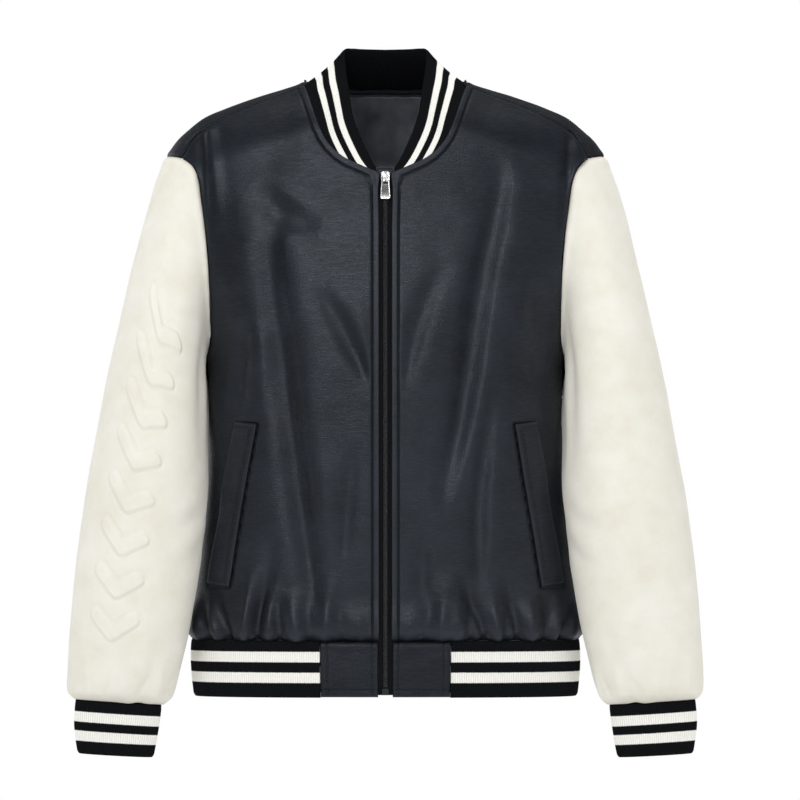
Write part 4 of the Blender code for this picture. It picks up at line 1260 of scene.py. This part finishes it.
# The hem's band, from tab to tab round the back, 61 mm wide. Its sections are as the torso's, from its fold
# up to its seam.
HEM = (
    (-678.4, 212, 80, 76, 2.6),
    (-648, 214, 82, 78, 2.6),
    (-617.6, 214.5, 82.5, 78.5, 2.6),
)
TAB_START, TAB_END = 8.0, 71.0  # where a tab starts and ends, from the centre line
SEAM_LAP = 0.5  # how far the band reaches up behind the body


def hoop(turn, z, table):
    """Points of a level section, with turn running from the centre front to the centre back."""
    half_width, front, back, square = along(table, z)
    cosine = np.cos(turn)
    x = half_width * np.sign(np.sin(turn)) * np.abs(np.sin(turn)) ** (2 / square)
    y = np.where(cosine > 0, -front, back) * np.abs(cosine) ** (2 / square)
    return np.stack(np.broadcast_arrays(x, y, z), axis=-1)


start = math.asin(((TAB_END + 0.2) / HEM[0][1]) ** (HEM[0][-1] / 2))
rough = np.linspace(start, 2 * math.pi - start, 4000)
length = run_lengths(hoop(rough, -648.0, HEM)[:, None], 0)[:, 0]
wanted = rib_columns(length[-1])
turns = np.interp(wanted, length, rough)
shares = np.concatenate(((0, 0.012, 0.03), np.linspace(0.06, 0.94, 11), (0.97, 0.99, 1)))
z = between(HEM[0][0], HEM[-1][0] + SEAM_LAP, shares)[:, None]
hem = hoop(turns + 0 * z, z + 0 * turns, HEM)
from_seam = HEM[-1][0] + SEAM_LAP - z
puff = 1.1 * np.sin(math.pi * shares)[:, None] ** 0.8 + 0.7 * unevenness(wanted + 0 * z, z, 75, 0.8)
ribs = ribbed(wanted) * (1 - bell(from_seam, 3.0))
ends = -1.2 * bell(z - HEM[0][0], 1.6) - 1.0 * bell(np.minimum(wanted, wanted[-1] - wanted), 1.5)
hem, out = hem[::-1], facing(hem)[::-1]
hem, past = folded_band(hem, out, (ribs + puff + ends)[::-1], (ribs - puff + ends)[::-1],
                        (from_seam + 0 * wanted)[::-1])
hem_uv = np.stack((wanted + 0 * past, np.abs(past)), axis=-1) * MM
hem_knit = rib_material("hem_knit", ((0.196, 0.382), (0.568, 0.752)), 61.3 * MM)
hem_piece = surface("hem_rib_band", hem, (hem_knit,), turned=True, looped=True, uv=hem_uv)
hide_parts("hem_rib")

# The cuffs, 61 mm wide, sewn round into tubes with the seam under the wrist. Their rings are as a sleeve's.
CUFF_WIDTH = 61.5
CUFF = (
    (341, -681.8, 246.5, -687.8, -56, 18.5),
    (341.5, -710, 251, -716, -56, 19),
    (338.5, -740, 255.5, -744.5, -56, 18),
)
cuff_knit = rib_material("cuff_knit", ((0.222, 0.413), (0.579, 0.762)), 63.0 * MM)
for name, side in SIDES:
    shares = np.concatenate(((0, 0.04, 0.08), np.linspace(0.13, 0.92, 10), (0.96, 0.985, 1)))
    rows = along(np.column_stack((np.arange(3), CUFF)), shares * 2).T
    rough = np.linspace(0, 360, 1441)[:-1]
    length = run_lengths(ring(rows[5:6], rough)[0][:, None], 0)[:, 0]
    full = length[-1] * len(rough) / (len(rough) - 1)
    ribs = int(round(full / RIB_PITCH))
    wanted = np.linspace(0, full, ribs * 4, endpoint=False)
    degrees = np.interp(wanted, length, rough)
    cuff = ring(rows, degrees)
    down = shares[:, None] * CUFF_WIDTH
    knit = wanted * ribs * RIB_PITCH / full
    ridges = ribbed(knit) * (1 - bell(down, 3.0))
    puff = 0.8 + 0.45 * unevenness(wanted + 0 * down, down, 48, 0.4 * side)
    puff = puff * np.sin(math.pi * shares)[:, None]
    fold_end = -1.1 * bell(CUFF_WIDTH - down, 1.5)
    cuff, past = folded_band(cuff, facing(cuff, closed=True), ridges + puff + fold_end,
                             ridges - puff + fold_end, down + 0 * wanted)
    cuff = mirrored_x(cuff, side)
    cuff_uv = np.stack((knit + 0 * past, past), axis=-1) * MM
    piece = surface(f"{name}_cuff", cuff, (cuff_knit,), turned=side < 0, closed=True, looped=True, uv=cuff_uv)
    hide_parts(f"cuff_{name}")


# Pocket welts: a narrow strip of leather over each slanting pocket, folded at its outer edge, where the
# hand goes in behind it, and topstitched along its inner edge and both ends.

WELT_WIDTH, WELT_LENGTH = 25.2, 182.0
WELT_PROUD = 0.2  # of its edges above the front
WELT_EDGE = 1.6  # radius of its edges
WELT_ROW = 6.2  # from its edges to its row of topstitching


def rounded_edge(distance, radius):
    """How far a rounded edge falls below its top, at a distance in from it."""
    inside = np.clip(1 - distance / radius, 0, 1)
    return radius * (1 - np.sqrt(1 - inside ** 2))


up = np.concatenate((np.linspace(0, 0.02, 6), np.linspace(0.03, 0.97, 84), np.linspace(0.98, 1, 6)))[:, None]
across = np.concatenate((np.linspace(0, 0.14, 8), np.linspace(0.17, 0.83, 15), np.linspace(0.86, 1, 8)))
foot_x, foot_z = (between(inner, outer, across) for inner, outer in zip(*WELT_FOOT))
top_x, top_z = (between(inner, outer, across) for inner, outer in zip(*WELT_TOP))
bend = 0.8 * np.sin(math.pi * up)
x, z = foot_x * (1 - up) + top_x * up + bend, foot_z * (1 - up) + top_z * up
turn, fall = turn_of(x, z), fall_of(x, z, 1)
from_inner, from_outer = WELT_WIDTH * across + 0 * up, WELT_WIDTH * (1 - across) + 0 * up
from_end = WELT_LENGTH * np.minimum(up, 1 - up) + 0 * across
border = np.minimum(from_inner, from_end)
nearest = np.minimum(border, from_outer)
welt_inner = from_inner
welt_foot, welt_top = WELT_LENGTH * up + 0 * across, WELT_LENGTH * (1 - up) + 0 * across
welt_shapes = {}
for name, side in SIDES:
    press = -0.35 * bell(border - WELT_ROW, 0.9) - 0.15 * bell(from_outer - 4.5, 0.9)
    swell = 0.55 * np.sin(math.pi * across) * (0.7 + 0.3 * unevenness(x, z, 44, side))
    open_edge = 1.3 * ease_in(across, 0.45, 1.0) * np.sin(math.pi * up) ** 0.6
    stand = WELT_PROUD + open_edge + press + swell + WELT_EDGE - rounded_edge(nearest, WELT_EDGE)
    follow = front_folds(x * side, z, side) + front_waves(x * side, z, side)
    points = mirrored_x(torso_at(turn, fall, follow + stand), side)
    # Painted shade round the welt's edges and in its row of stitching.
    groove_shade = np.clip(bell(nearest, 0.7) + 0.7 * bell(border - WELT_ROW, 0.8), 0, 0.8)
    rubbed = 0.45 * bell(from_outer - 1.2, 1.4) + 0.25 * bell(border - 1.6, 1.2)
    welt = surface(f"{name}_welt", points, (body_leather,), 1.6, turned=side < 0,
                   masks={"groove_shade": groove_shade, "rubbed": rubbed})
    welt_shapes[name] = points
    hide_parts(f"welt_{name}")


# The hem tabs: a block of leather at each side of the zip closes the end of the rib band. It is folded at
# its lower edge and topstitched along it and beside the rib.

HEM_TOP = HEM[-1][0] + 0.4
TAB_ROW, TAB_ZIP_ROW = 7.5, 6.5  # from the fold and the rib, and from the zip, to the topstitching
up = np.concatenate((np.linspace(0, 0.06, 7), np.linspace(0.08, 0.92, 36), np.linspace(0.94, 1, 5)))[:, None]
x_run = np.concatenate((np.linspace(TAB_START, 12, 7), np.linspace(13, 66, 44), np.linspace(67, TAB_END, 7)))
tab_turns = np.arcsin((x_run / HEM[0][1]) ** (HEM[0][-1] / 2))
tab_z = between(HEM[0][0], HEM_TOP, up)
flat_tab = hoop(tab_turns, tab_z, HEM) - (0, 0.5, 0)
tab_zip, tab_rib = x_run - TAB_START + 0 * up, TAB_END - x_run + 0 * up
tab_fold, tab_top = tab_z - HEM[0][0] + 0 * x_run, HEM_TOP - tab_z + 0 * x_run
tab_shapes = {}
for name, side in SIDES:
    x, z = flat_tab[..., 0] * side, flat_tab[..., 2]
    sewn = bell(tab_fold - TAB_ROW, 0.8) + bell(tab_rib - TAB_ROW, 0.8) + bell(tab_zip - TAB_ZIP_ROW, 0.8)
    height = -0.45 * sewn - rounded_edge(np.minimum(tab_fold, tab_zip), 1.5) - 1.6 * bell(tab_top, 2.0)
    height = height - rounded_edge(tab_rib, 1.2) + 0.4 * bell(tab_top - 6, 3.0)
    height = height + 0.45 * unevenness(x, z, 33, side) + 0.6
    # Painted shade: the whole tab is darkened at least this much, and more in its rows of stitching, along
    # its top and beside the rib.
    groove_shade = np.clip(0.8 * sewn + bell(tab_top, 2) + bell(tab_rib, 0.8), 0.35, 0.95)
    rubbed = 0.5 * bell(tab_fold - 0.8, 1.6) + 0.3 * bell(tab_zip - 0.8, 1.4)
    points = mirrored_x(lifted(flat_tab, height), side)
    tab = surface(f"{name}_hem_tab", points, (body_leather,), LEATHER, turned=side < 0,
                  masks={"groove_shade": groove_shade, "rubbed": rubbed})
    tab_shapes[name] = points
    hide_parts(f"hem_tab_{name}")


# The zip: two woven tapes sewn behind the fronts' edges, interlocking moulded teeth between them, and a
# leather guard behind, whose stitched upper end shows inside the neck.

ZIP_TOP = -104.0
ZIP_FOOT = -676.0
CHAIN_TOP = -114.6
BOX_TOP = -669.0
GUARD_TOP = -95.0
GUARD_HALF = 10.8  # half of the guard's width
TOOTH_PITCH = 2.1


def front_line(z):
    """y of the jacket's face at the centre front."""
    z = np.asarray(z, float)
    return np.where(z > HEM_SEAM, -along(TORSO, z)[1], -along(HEM, z)[1] - 0.5)


TAPE_BLACK, TAPE_PALE = (0.0030, 0.0036, 0.0050), (0.0085, 0.0100, 0.0135)

tape_weave, tree, shader, place = new_material("zip_tape_weave")
ribs = node(tree, "TexWave", {"Vector": scaled(tree, place, (0.0012, 0.0012, 0.0012)), "Scale": 1.0,
                              "Distortion": 0.3}, wave_type="BANDS", bands_direction="Z")
threads = noise(tree, place, (0.0004, 0.0004, 0.003), 2.0)
tree.links.new(blended(tree, math_of(tree, "MULTIPLY", ribs.outputs["Fac"], threads), TAPE_BLACK, TAPE_PALE),
               shader["Base Color"])
shader["Roughness"].default_value = 0.85
shader["Specular IOR Level"].default_value = 0.2
embossed(tree, shader, math_of(tree, "ADD", ribs.outputs["Fac"], threads), 0.6, 0.0003)

z = np.linspace(ZIP_FOOT, ZIP_TOP, 260)[:, None]
x_run = np.concatenate((np.linspace(2.9, 4.6, 6), np.linspace(5.2, 12.5, 12)))
for name, side in SIDES:
    wave = 0.12 * unevenness(0 * z + x_run, z * 0.5, 24, side) * ease_in(x_run, 4, 9)
    bead = 0.55 * bell(x_run - 3.7, 0.8)
    y = front_line(z) + LEATHER + 0.5 - bead - wave
    points = np.stack((side * x_run + 0 * z, y, z + 0 * x_run), axis=-1)
    tape = surface(f"{name}_zip_tape", points, (tape_weave,), 0.8, turned=side < 0)
    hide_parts(f"zip_tape_{name}")

z = np.concatenate((np.linspace(ZIP_FOOT, GUARD_TOP - 12, 150), np.linspace(GUARD_TOP - 11, GUARD_TOP, 14)))
z = z[:, None]
x_run = np.linspace(8.6, GUARD_HALF, 6)
x_run = np.concatenate((-x_run[::-1], np.linspace(-8, 8, 13), x_run))
from_border = np.minimum(GUARD_HALF - np.abs(x_run) + 0 * z, GUARD_TOP - z)
dip = rounded_edge(from_border, 1.2) + 0.35 * bell(from_border - 3.0, 0.6)
y = front_line(z) + LEATHER + 2.1 + dip
points = np.stack((x_run + 0 * z, y, z + 0 * x_run), axis=-1)
# Painted shade in the guard's row of stitching.
groove_shade, rubbed = 0.7 * bell(from_border - 3.0, 0.6), 0.25 * bell(from_border, 1.2)
guard = surface("zip_guard_strip", points, (body_leather,), 1.0, masks={"groove_shade": groove_shade, "rubbed": rubbed})
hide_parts("zip_guard")

# Each tooth is a small block, a little wider at its head than at its tape, with a rounded front. All are
# one mesh.
PLASTIC_BLACK, PLASTIC_WORN = (0.0040, 0.0046, 0.0060), (0.0120, 0.0130, 0.0155)

tooth_plastic, tree, shader, place = new_material("tooth_plastic")
wear = noise(tree, place, (0.002, 0.002, 0.002), 3.0)
tree.links.new(blended(tree, ranged(tree, wear, 0.45, 0.75), PLASTIC_BLACK, PLASTIC_WORN),
               shader["Base Color"])
tree.links.new(ranged(tree, wear, 0.3, 0.7, 0.30, 0.42), shader["Roughness"])


def repeated(name, shape, faces, places, finish):
    """One mesh of a small shape's points, in millimetres, repeated at many places.

    Each place is a row of twelve numbers: x, y, z, and three unit axes.
    """
    frames = places[:, 3:].reshape(-1, 3, 3)
    points = places[:, None, :3] + np.einsum("pk,nkc->npc", shape, frames)
    count = len(shape)
    offsets = np.arange(len(places))[:, None, None] * count
    whole = (np.array(faces)[None] + offsets).reshape(-1, len(faces[0]))
    mesh = bpy.data.meshes.new(name)
    mesh.from_pydata((points.reshape(-1, 3) * MM).tolist(), [], whole.tolist())
    mesh.materials.append(finish)
    mesh.shade_smooth()
    made = bpy.data.objects.new(name, mesh)
    bpy.context.scene.collection.objects.link(made)
    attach(made, "jacket")
    return made


def block(rings):
    """Points and faces of a closed block through rings of four corners each, from back to front."""
    points = np.array(rings, float).reshape(-1, 3)
    last = len(points) - 4
    faces = [(3, 2, 1, 0)]
    for base in range(0, last, 4):
        faces += [(base + i, base + (i + 1) % 4, base + 4 + (i + 1) % 4, base + 4 + i) for i in range(4)]
    return points, faces + [(last, last + 1, last + 2, last + 3)]


def tooth_ring(depth, narrow):
    """Corners of a tooth's section: x runs from the tape to the head, z is its height."""
    root, head = 0.62 - narrow, 0.80 - narrow
    return ((-0.2 + narrow, depth, -root), (3.3 - narrow, depth, -head), (3.3 - narrow, depth, head),
            (-0.2 + narrow, depth, root))


tooth, tooth_faces = block((tooth_ring(1.1, 0.05), tooth_ring(-0.75, 0), tooth_ring(-1.15, 0.22)))
rows_of = []
for _, side in SIDES:
    z = np.arange(BOX_TOP + 2.4 + (side > 0) * TOOTH_PITCH / 2, CHAIN_TOP - 0.6, TOOTH_PITCH)
    lean = np.gradient(front_line(z), z)
    up_axis = np.stack((0 * z, lean, 1 + 0 * z), axis=-1) / np.sqrt(1 + lean ** 2)[:, None]
    in_axis = np.stack((-side + 0 * z, 0 * z, 0 * z), axis=-1)
    deep_axis = np.stack((0 * z, 1 + 0 * z, -lean), axis=-1) / np.sqrt(1 + lean ** 2)[:, None]
    start = np.stack((side * 2.75 + 0 * z, front_line(z) + 1.95, z), axis=-1)
    rows_of.append(np.concatenate((start, in_axis, deep_axis, -side * up_axis), axis=1))
chain = repeated("zip_teeth", tooth, tooth_faces, np.concatenate(rows_of), tooth_plastic)
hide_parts("zip_chain")


# The zip's slider and pull: die-cast metal, plated bright silver and lightly brushed. The pull hangs by its
# top bar inside the slider's bridge, and swings on it.

SILVER, SILVER_WORN = (0.86, 0.86, 0.85), (0.66, 0.66, 0.66)

plated_metal, tree, shader, place = new_material("plated_metal")
brushed = noise(tree, place, (0.0040, 0.0010, 0.0003), 3.0)
scuffs = noise(tree, place, (0.0020, 0.0020, 0.0030), 4.0, 0.6)
tree.links.new(blended(tree, ranged(tree, scuffs, 0.45, 0.75), SILVER, SILVER_WORN), shader["Base Color"])
tree.links.new(ranged(tree, brushed, 0.3, 0.7, 0.20, 0.34), shader["Roughness"])
shader["Metallic"].default_value = 1.0
embossed(tree, shader, brushed, 0.15, 0.0001)

HEAD_CENTRE = -107.8  # height of the middle of the slider
SLIDER_FRONT = 2.2
BRIDGE_RISE = 3.6
face = float(front_line(HEAD_CENTRE))
lean = math.atan2(float(front_line(HEAD_CENTRE + 20)) - float(front_line(HEAD_CENTRE - 20)), 40)


def on_head(points):
    """Points of the zip's head, from its own frame (x, y into the jacket, z up) to the jacket's."""
    points = np.asarray(points, float)
    y = points[..., 1] * math.cos(-lean) - points[..., 2] * math.sin(-lean)
    z = points[..., 1] * math.sin(-lean) + points[..., 2] * math.cos(-lean)
    return np.stack((points[..., 0], y + face, z + HEAD_CENTRE), axis=-1)


def round_corners(corners, radius, steps=4):
    """A closed outline with each corner replaced by a short curve."""
    corners = np.array(corners, float)
    before, after = np.roll(corners, 1, axis=0), np.roll(corners, -1, axis=0)
    to_before, to_after = before - corners, after - corners
    to_before /= np.linalg.norm(to_before, axis=1, keepdims=True)
    to_after /= np.linalg.norm(to_after, axis=1, keepdims=True)
    part = np.linspace(0, 1, steps)[None, :, None]
    start, end = (corners + to_before * radius)[:, None], (corners + to_after * radius)[:, None]
    middle = corners[:, None]
    curve = start * (1 - part) ** 2 + 2 * middle * part * (1 - part) + end * part ** 2
    return curve.reshape(-1, 2)


def inset(outline, amount):
    """The outline moved inwards by an amount, where it runs anticlockwise."""
    run = np.roll(outline, -1, axis=0) - np.roll(outline, 1, axis=0)
    run /= np.linalg.norm(run, axis=1, keepdims=True)
    return outline + amount * np.stack((-run[:, 1], run[:, 0]), axis=-1)


def stacked(outline, steps):
    """An outline seen from the front, as rings: one for each depth and amount by which it is inset."""
    return [np.insert(inset(outline, amount), 1, depth, axis=1) for depth, amount in steps]


def plate(name, outline, front, back, soften, body, hole=None):
    """A flat metal plate in the head's frame: its outline between two depths, with its edges rounded over,
    and a hole through it if one is given with as many points as the outline."""
    rings = stacked(outline, ((back, 1.3 * soften), (back, soften), (back - 0.3 * soften, 0.3 * soften),
                              (back - soften, 0), (front + soften, 0), (front + 0.3 * soften, 0.3 * soften),
                              (front, soften), (front, 1.3 * soften)))
    if hole is not None:
        rings += stacked(hole, ((front, -0.25), (front + 0.3, 0), (back - 0.3, 0), (back, -0.25)))
    return surface(name, on_head(rings), (plated_metal,), closed=True, looped=hole is not None,
                   capped=hole is None, body=body)


slider_outline = round_corners(((-3.2, -6.2), (3.2, -6.2), (4.2, -3.0), (5.25, 1.5), (5.25, 4.4), (3.6, 6.2),
                                (-3.6, 6.2), (-5.25, 4.4), (-5.25, 1.5), (-4.2, -3.0)), 0.9)
slider = plate("zip_slider_body", slider_outline, -SLIDER_FRONT, 1.7, 0.9, "jacket")
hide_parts("zip_slider")

# The bridge: a flat strap, bent up from the slider's top, over the pull's bar and down to its foot.
bridge_line = np.array(((-SLIDER_FRONT + 0.6, 5.4), (-SLIDER_FRONT - 1.6, 5.2), (-SLIDER_FRONT - 2.9, 4.2),
                        (-SLIDER_FRONT - 3.1, 2.4), (-SLIDER_FRONT - 3.1, 0.0), (-SLIDER_FRONT - 2.6, -2.2),
                        (-SLIDER_FRONT - 1.2, -4.4), (-SLIDER_FRONT + 0.6, -5.1)))
steps = np.linspace(0, len(bridge_line) - 1, 40)
bridge_line = along(np.column_stack((np.arange(len(bridge_line)), bridge_line)), steps).T
run = np.gradient(bridge_line, axis=0)
run /= np.linalg.norm(run, axis=1, keepdims=True)
away = np.stack((run[:, 1], -run[:, 0]), axis=-1)
section = round_corners(((-1.3, -0.5), (1.3, -0.5), (1.3, 0.5), (-1.3, 0.5)), 0.35)
strap = np.stack((section[None, :, 0] + 0 * bridge_line[:, :1],
                  bridge_line[:, :1] + away[:, :1] * section[None, :, 1],
                  bridge_line[:, 1:] + away[:, 1:] * section[None, :, 1]), axis=-1)
bridge = surface("zip_slider_bridge", on_head(strap), (plated_metal,), closed=True, capped=True)

# The pull: a flat tab, a little wider at its foot, with a long slot under its top bar.
HINGE_OUT = -SLIDER_FRONT - (BRIDGE_RISE - 1.0) / 2
HINGE_UP = 1.6
PULL_HALF = 0.75  # half of its thickness
pull_outline = round_corners(((-5.5, -26), (-4.7, -27), (4.7, -27), (5.5, -26), (4.4, -9), (4.7, 0),
                              (4.0, 0.8), (-4.0, 0.8), (-4.7, 0), (-4.4, -9)), 0.45)
slot_outline = round_corners(((-2.4, -10), (-1.6, -10.4), (1.6, -10.4), (2.4, -10), (2.4, -6), (2.4, -0.9),
                              (1.7, -0.8), (-1.7, -0.8), (-2.4, -0.9), (-2.4, -6)), 0.25)
pull = plate("zip_pull_tab", pull_outline + (0, HINGE_UP), HINGE_OUT - PULL_HALF, HINGE_OUT + PULL_HALF, 0.3,
             "zip_pull", hole=slot_outline + (0, HINGE_UP))
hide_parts("zip_pull")

# The bottom box, of the teeth's plastic, at the foot of the chain.
box_outline = round_corners(((-3.6, ZIP_FOOT), (3.6, ZIP_FOOT), (3.6, BOX_TOP - 0.6), (2.9, BOX_TOP),
                             (-2.9, BOX_TOP), (-3.6, BOX_TOP - 0.6)), 0.4)
foot_y = float(front_line(-672))
rings = stacked(box_outline, ((foot_y + 2.0, 0.3), (foot_y + 1.7, 0), (foot_y - 0.6, 0), (foot_y - 1.0, 0.3),
                              (foot_y - 1.0, 0.5)))
foot_box = surface("zip_foot_box", np.array(rings), (tooth_plastic,), closed=True, capped=True)
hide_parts("zip_box")


# Topstitching: heavy thread in the leather's colour, sunk into rows beside the seams. Every stitch is a
# short rounded bead, and each garment's rows are one mesh.

STITCH = 3.0  # length of a stitch and the gap after it
BEAD_LENGTH, BEAD_WIDE, BEAD_HIGH = 2.3, 0.34, 0.30  # its length, half width and half height
THREAD_DARK, THREAD_PALE = (0.0060, 0.0075, 0.0110), (0.0200, 0.0240, 0.0320)

thread, tree, shader, place = new_material("dark_thread")
twist = noise(tree, place, (0.0005, 0.0005, 0.0005), 2.0)
tree.links.new(blended(tree, twist, THREAD_DARK, THREAD_PALE), shader["Base Color"])
shader["Roughness"].default_value = 0.6

bead, bead_faces = block([
    [(at * BEAD_LENGTH, wide * BEAD_WIDE * size, high * BEAD_HIGH * size)
     for wide, high in ((1, 1), (-1, 1), (-1, -1), (1, -1))]
    for at, size in ((-0.5, 0.35), (-0.3, 1.0), (0.3, 1.0), (0.5, 0.35))])


def stitch_places(line, out):
    """Places of stitches along a line of points, each with its run, side and outward axes."""
    length = run_lengths(line[:, None], 0)[:, 0]
    wanted = np.arange(STITCH, length[-1] - STITCH, STITCH)
    place, normal = resampled(line, length, wanted), resampled(out, length, wanted)
    run = resampled(line, length, wanted + 0.5) - place
    run /= np.linalg.norm(run, axis=1, keepdims=True)
    side = np.cross(normal, run)
    side /= np.linalg.norm(side, axis=1, keepdims=True)
    normal = np.cross(run, side)
    return np.concatenate((place, run, side, normal), axis=1)


def contour(points, distance, level_at):
    """Line on a grid of points where a distance that grows along each row passes a level."""
    column = np.argmax(distance > level_at, axis=1)
    row = np.arange(len(points))
    keep = column > 0
    row, column = row[keep], column[keep]
    low, high = distance[row, column - 1], distance[row, column]
    part = ((level_at - low) / (high - low))[:, None]
    normal = facing(points)[row, column]
    return points[row, column - 1] * (1 - part) + points[row, column] * part, normal


def upright(grid):
    """The grid with its columns as rows, each from its foot."""
    return np.swapaxes(grid, 0, 1)


seams = []
for name, side in SIDES:
    front, welt, tab = (mirrored_x(shapes[name], side) for shapes in (front_shapes, welt_shapes, tab_shapes))
    seams += [(side, *contour(*row)) for row in (
        (front, front_edge, EDGE_STRIP),
        (upright(front)[:, ::-1], upright(front_top)[:, ::-1], TOP_ROW),
        (welt, welt_inner, WELT_ROW),
        (upright(welt), upright(welt_foot), WELT_ROW),
        (upright(welt)[:, ::-1], upright(welt_top)[:, ::-1], WELT_ROW),
        (tab, tab_zip, TAB_ZIP_ROW),
        (tab[:, ::-1], tab_rib[:, ::-1], TAB_ROW),
        (upright(tab), upright(tab_fold), TAB_ROW))]
rows_of = []
for side, line, out in seams:
    # A right piece's row is found on its mirror image and mirrored back. Its side axis is then turned
    # about, so that the beads' faces still point outwards.
    places = stitch_places(line, out)
    places[:, ::3] *= side
    places[:, 6:9] *= side
    rows_of.append(places)
stitches = repeated("front_topstitching", bead, bead_faces, np.concatenate(rows_of), thread)


# The floor: a plain pale disc, well below the jacket.

FLOOR = -1.02
FLOOR_RADIUS = 1.9
FLOOR_CORNERS = 96
FLOOR_PALE, FLOOR_PALER = (0.80, 0.80, 0.80), (0.84, 0.84, 0.84)
around = np.linspace(0, 2 * math.pi, FLOOR_CORNERS + 1)[:-1]
disc = bpy.data.meshes.new("pale_floor")
disc.from_pydata([(FLOOR_RADIUS * math.cos(a), FLOOR_RADIUS * math.sin(a), FLOOR) for a in around], [],
                 [tuple(range(FLOOR_CORNERS))])
floor = bpy.data.objects.new("pale_floor", disc)
bpy.context.scene.collection.objects.link(floor)
pale, tree, shader, place = new_material("pale_floor")
tree.links.new(blended(tree, noise(tree, place, (0.4, 0.4, 0.4)), FLOOR_PALE, FLOOR_PALER),
               shader["Base Color"])
shader["Roughness"].default_value = 0.85
disc.materials.append(pale)
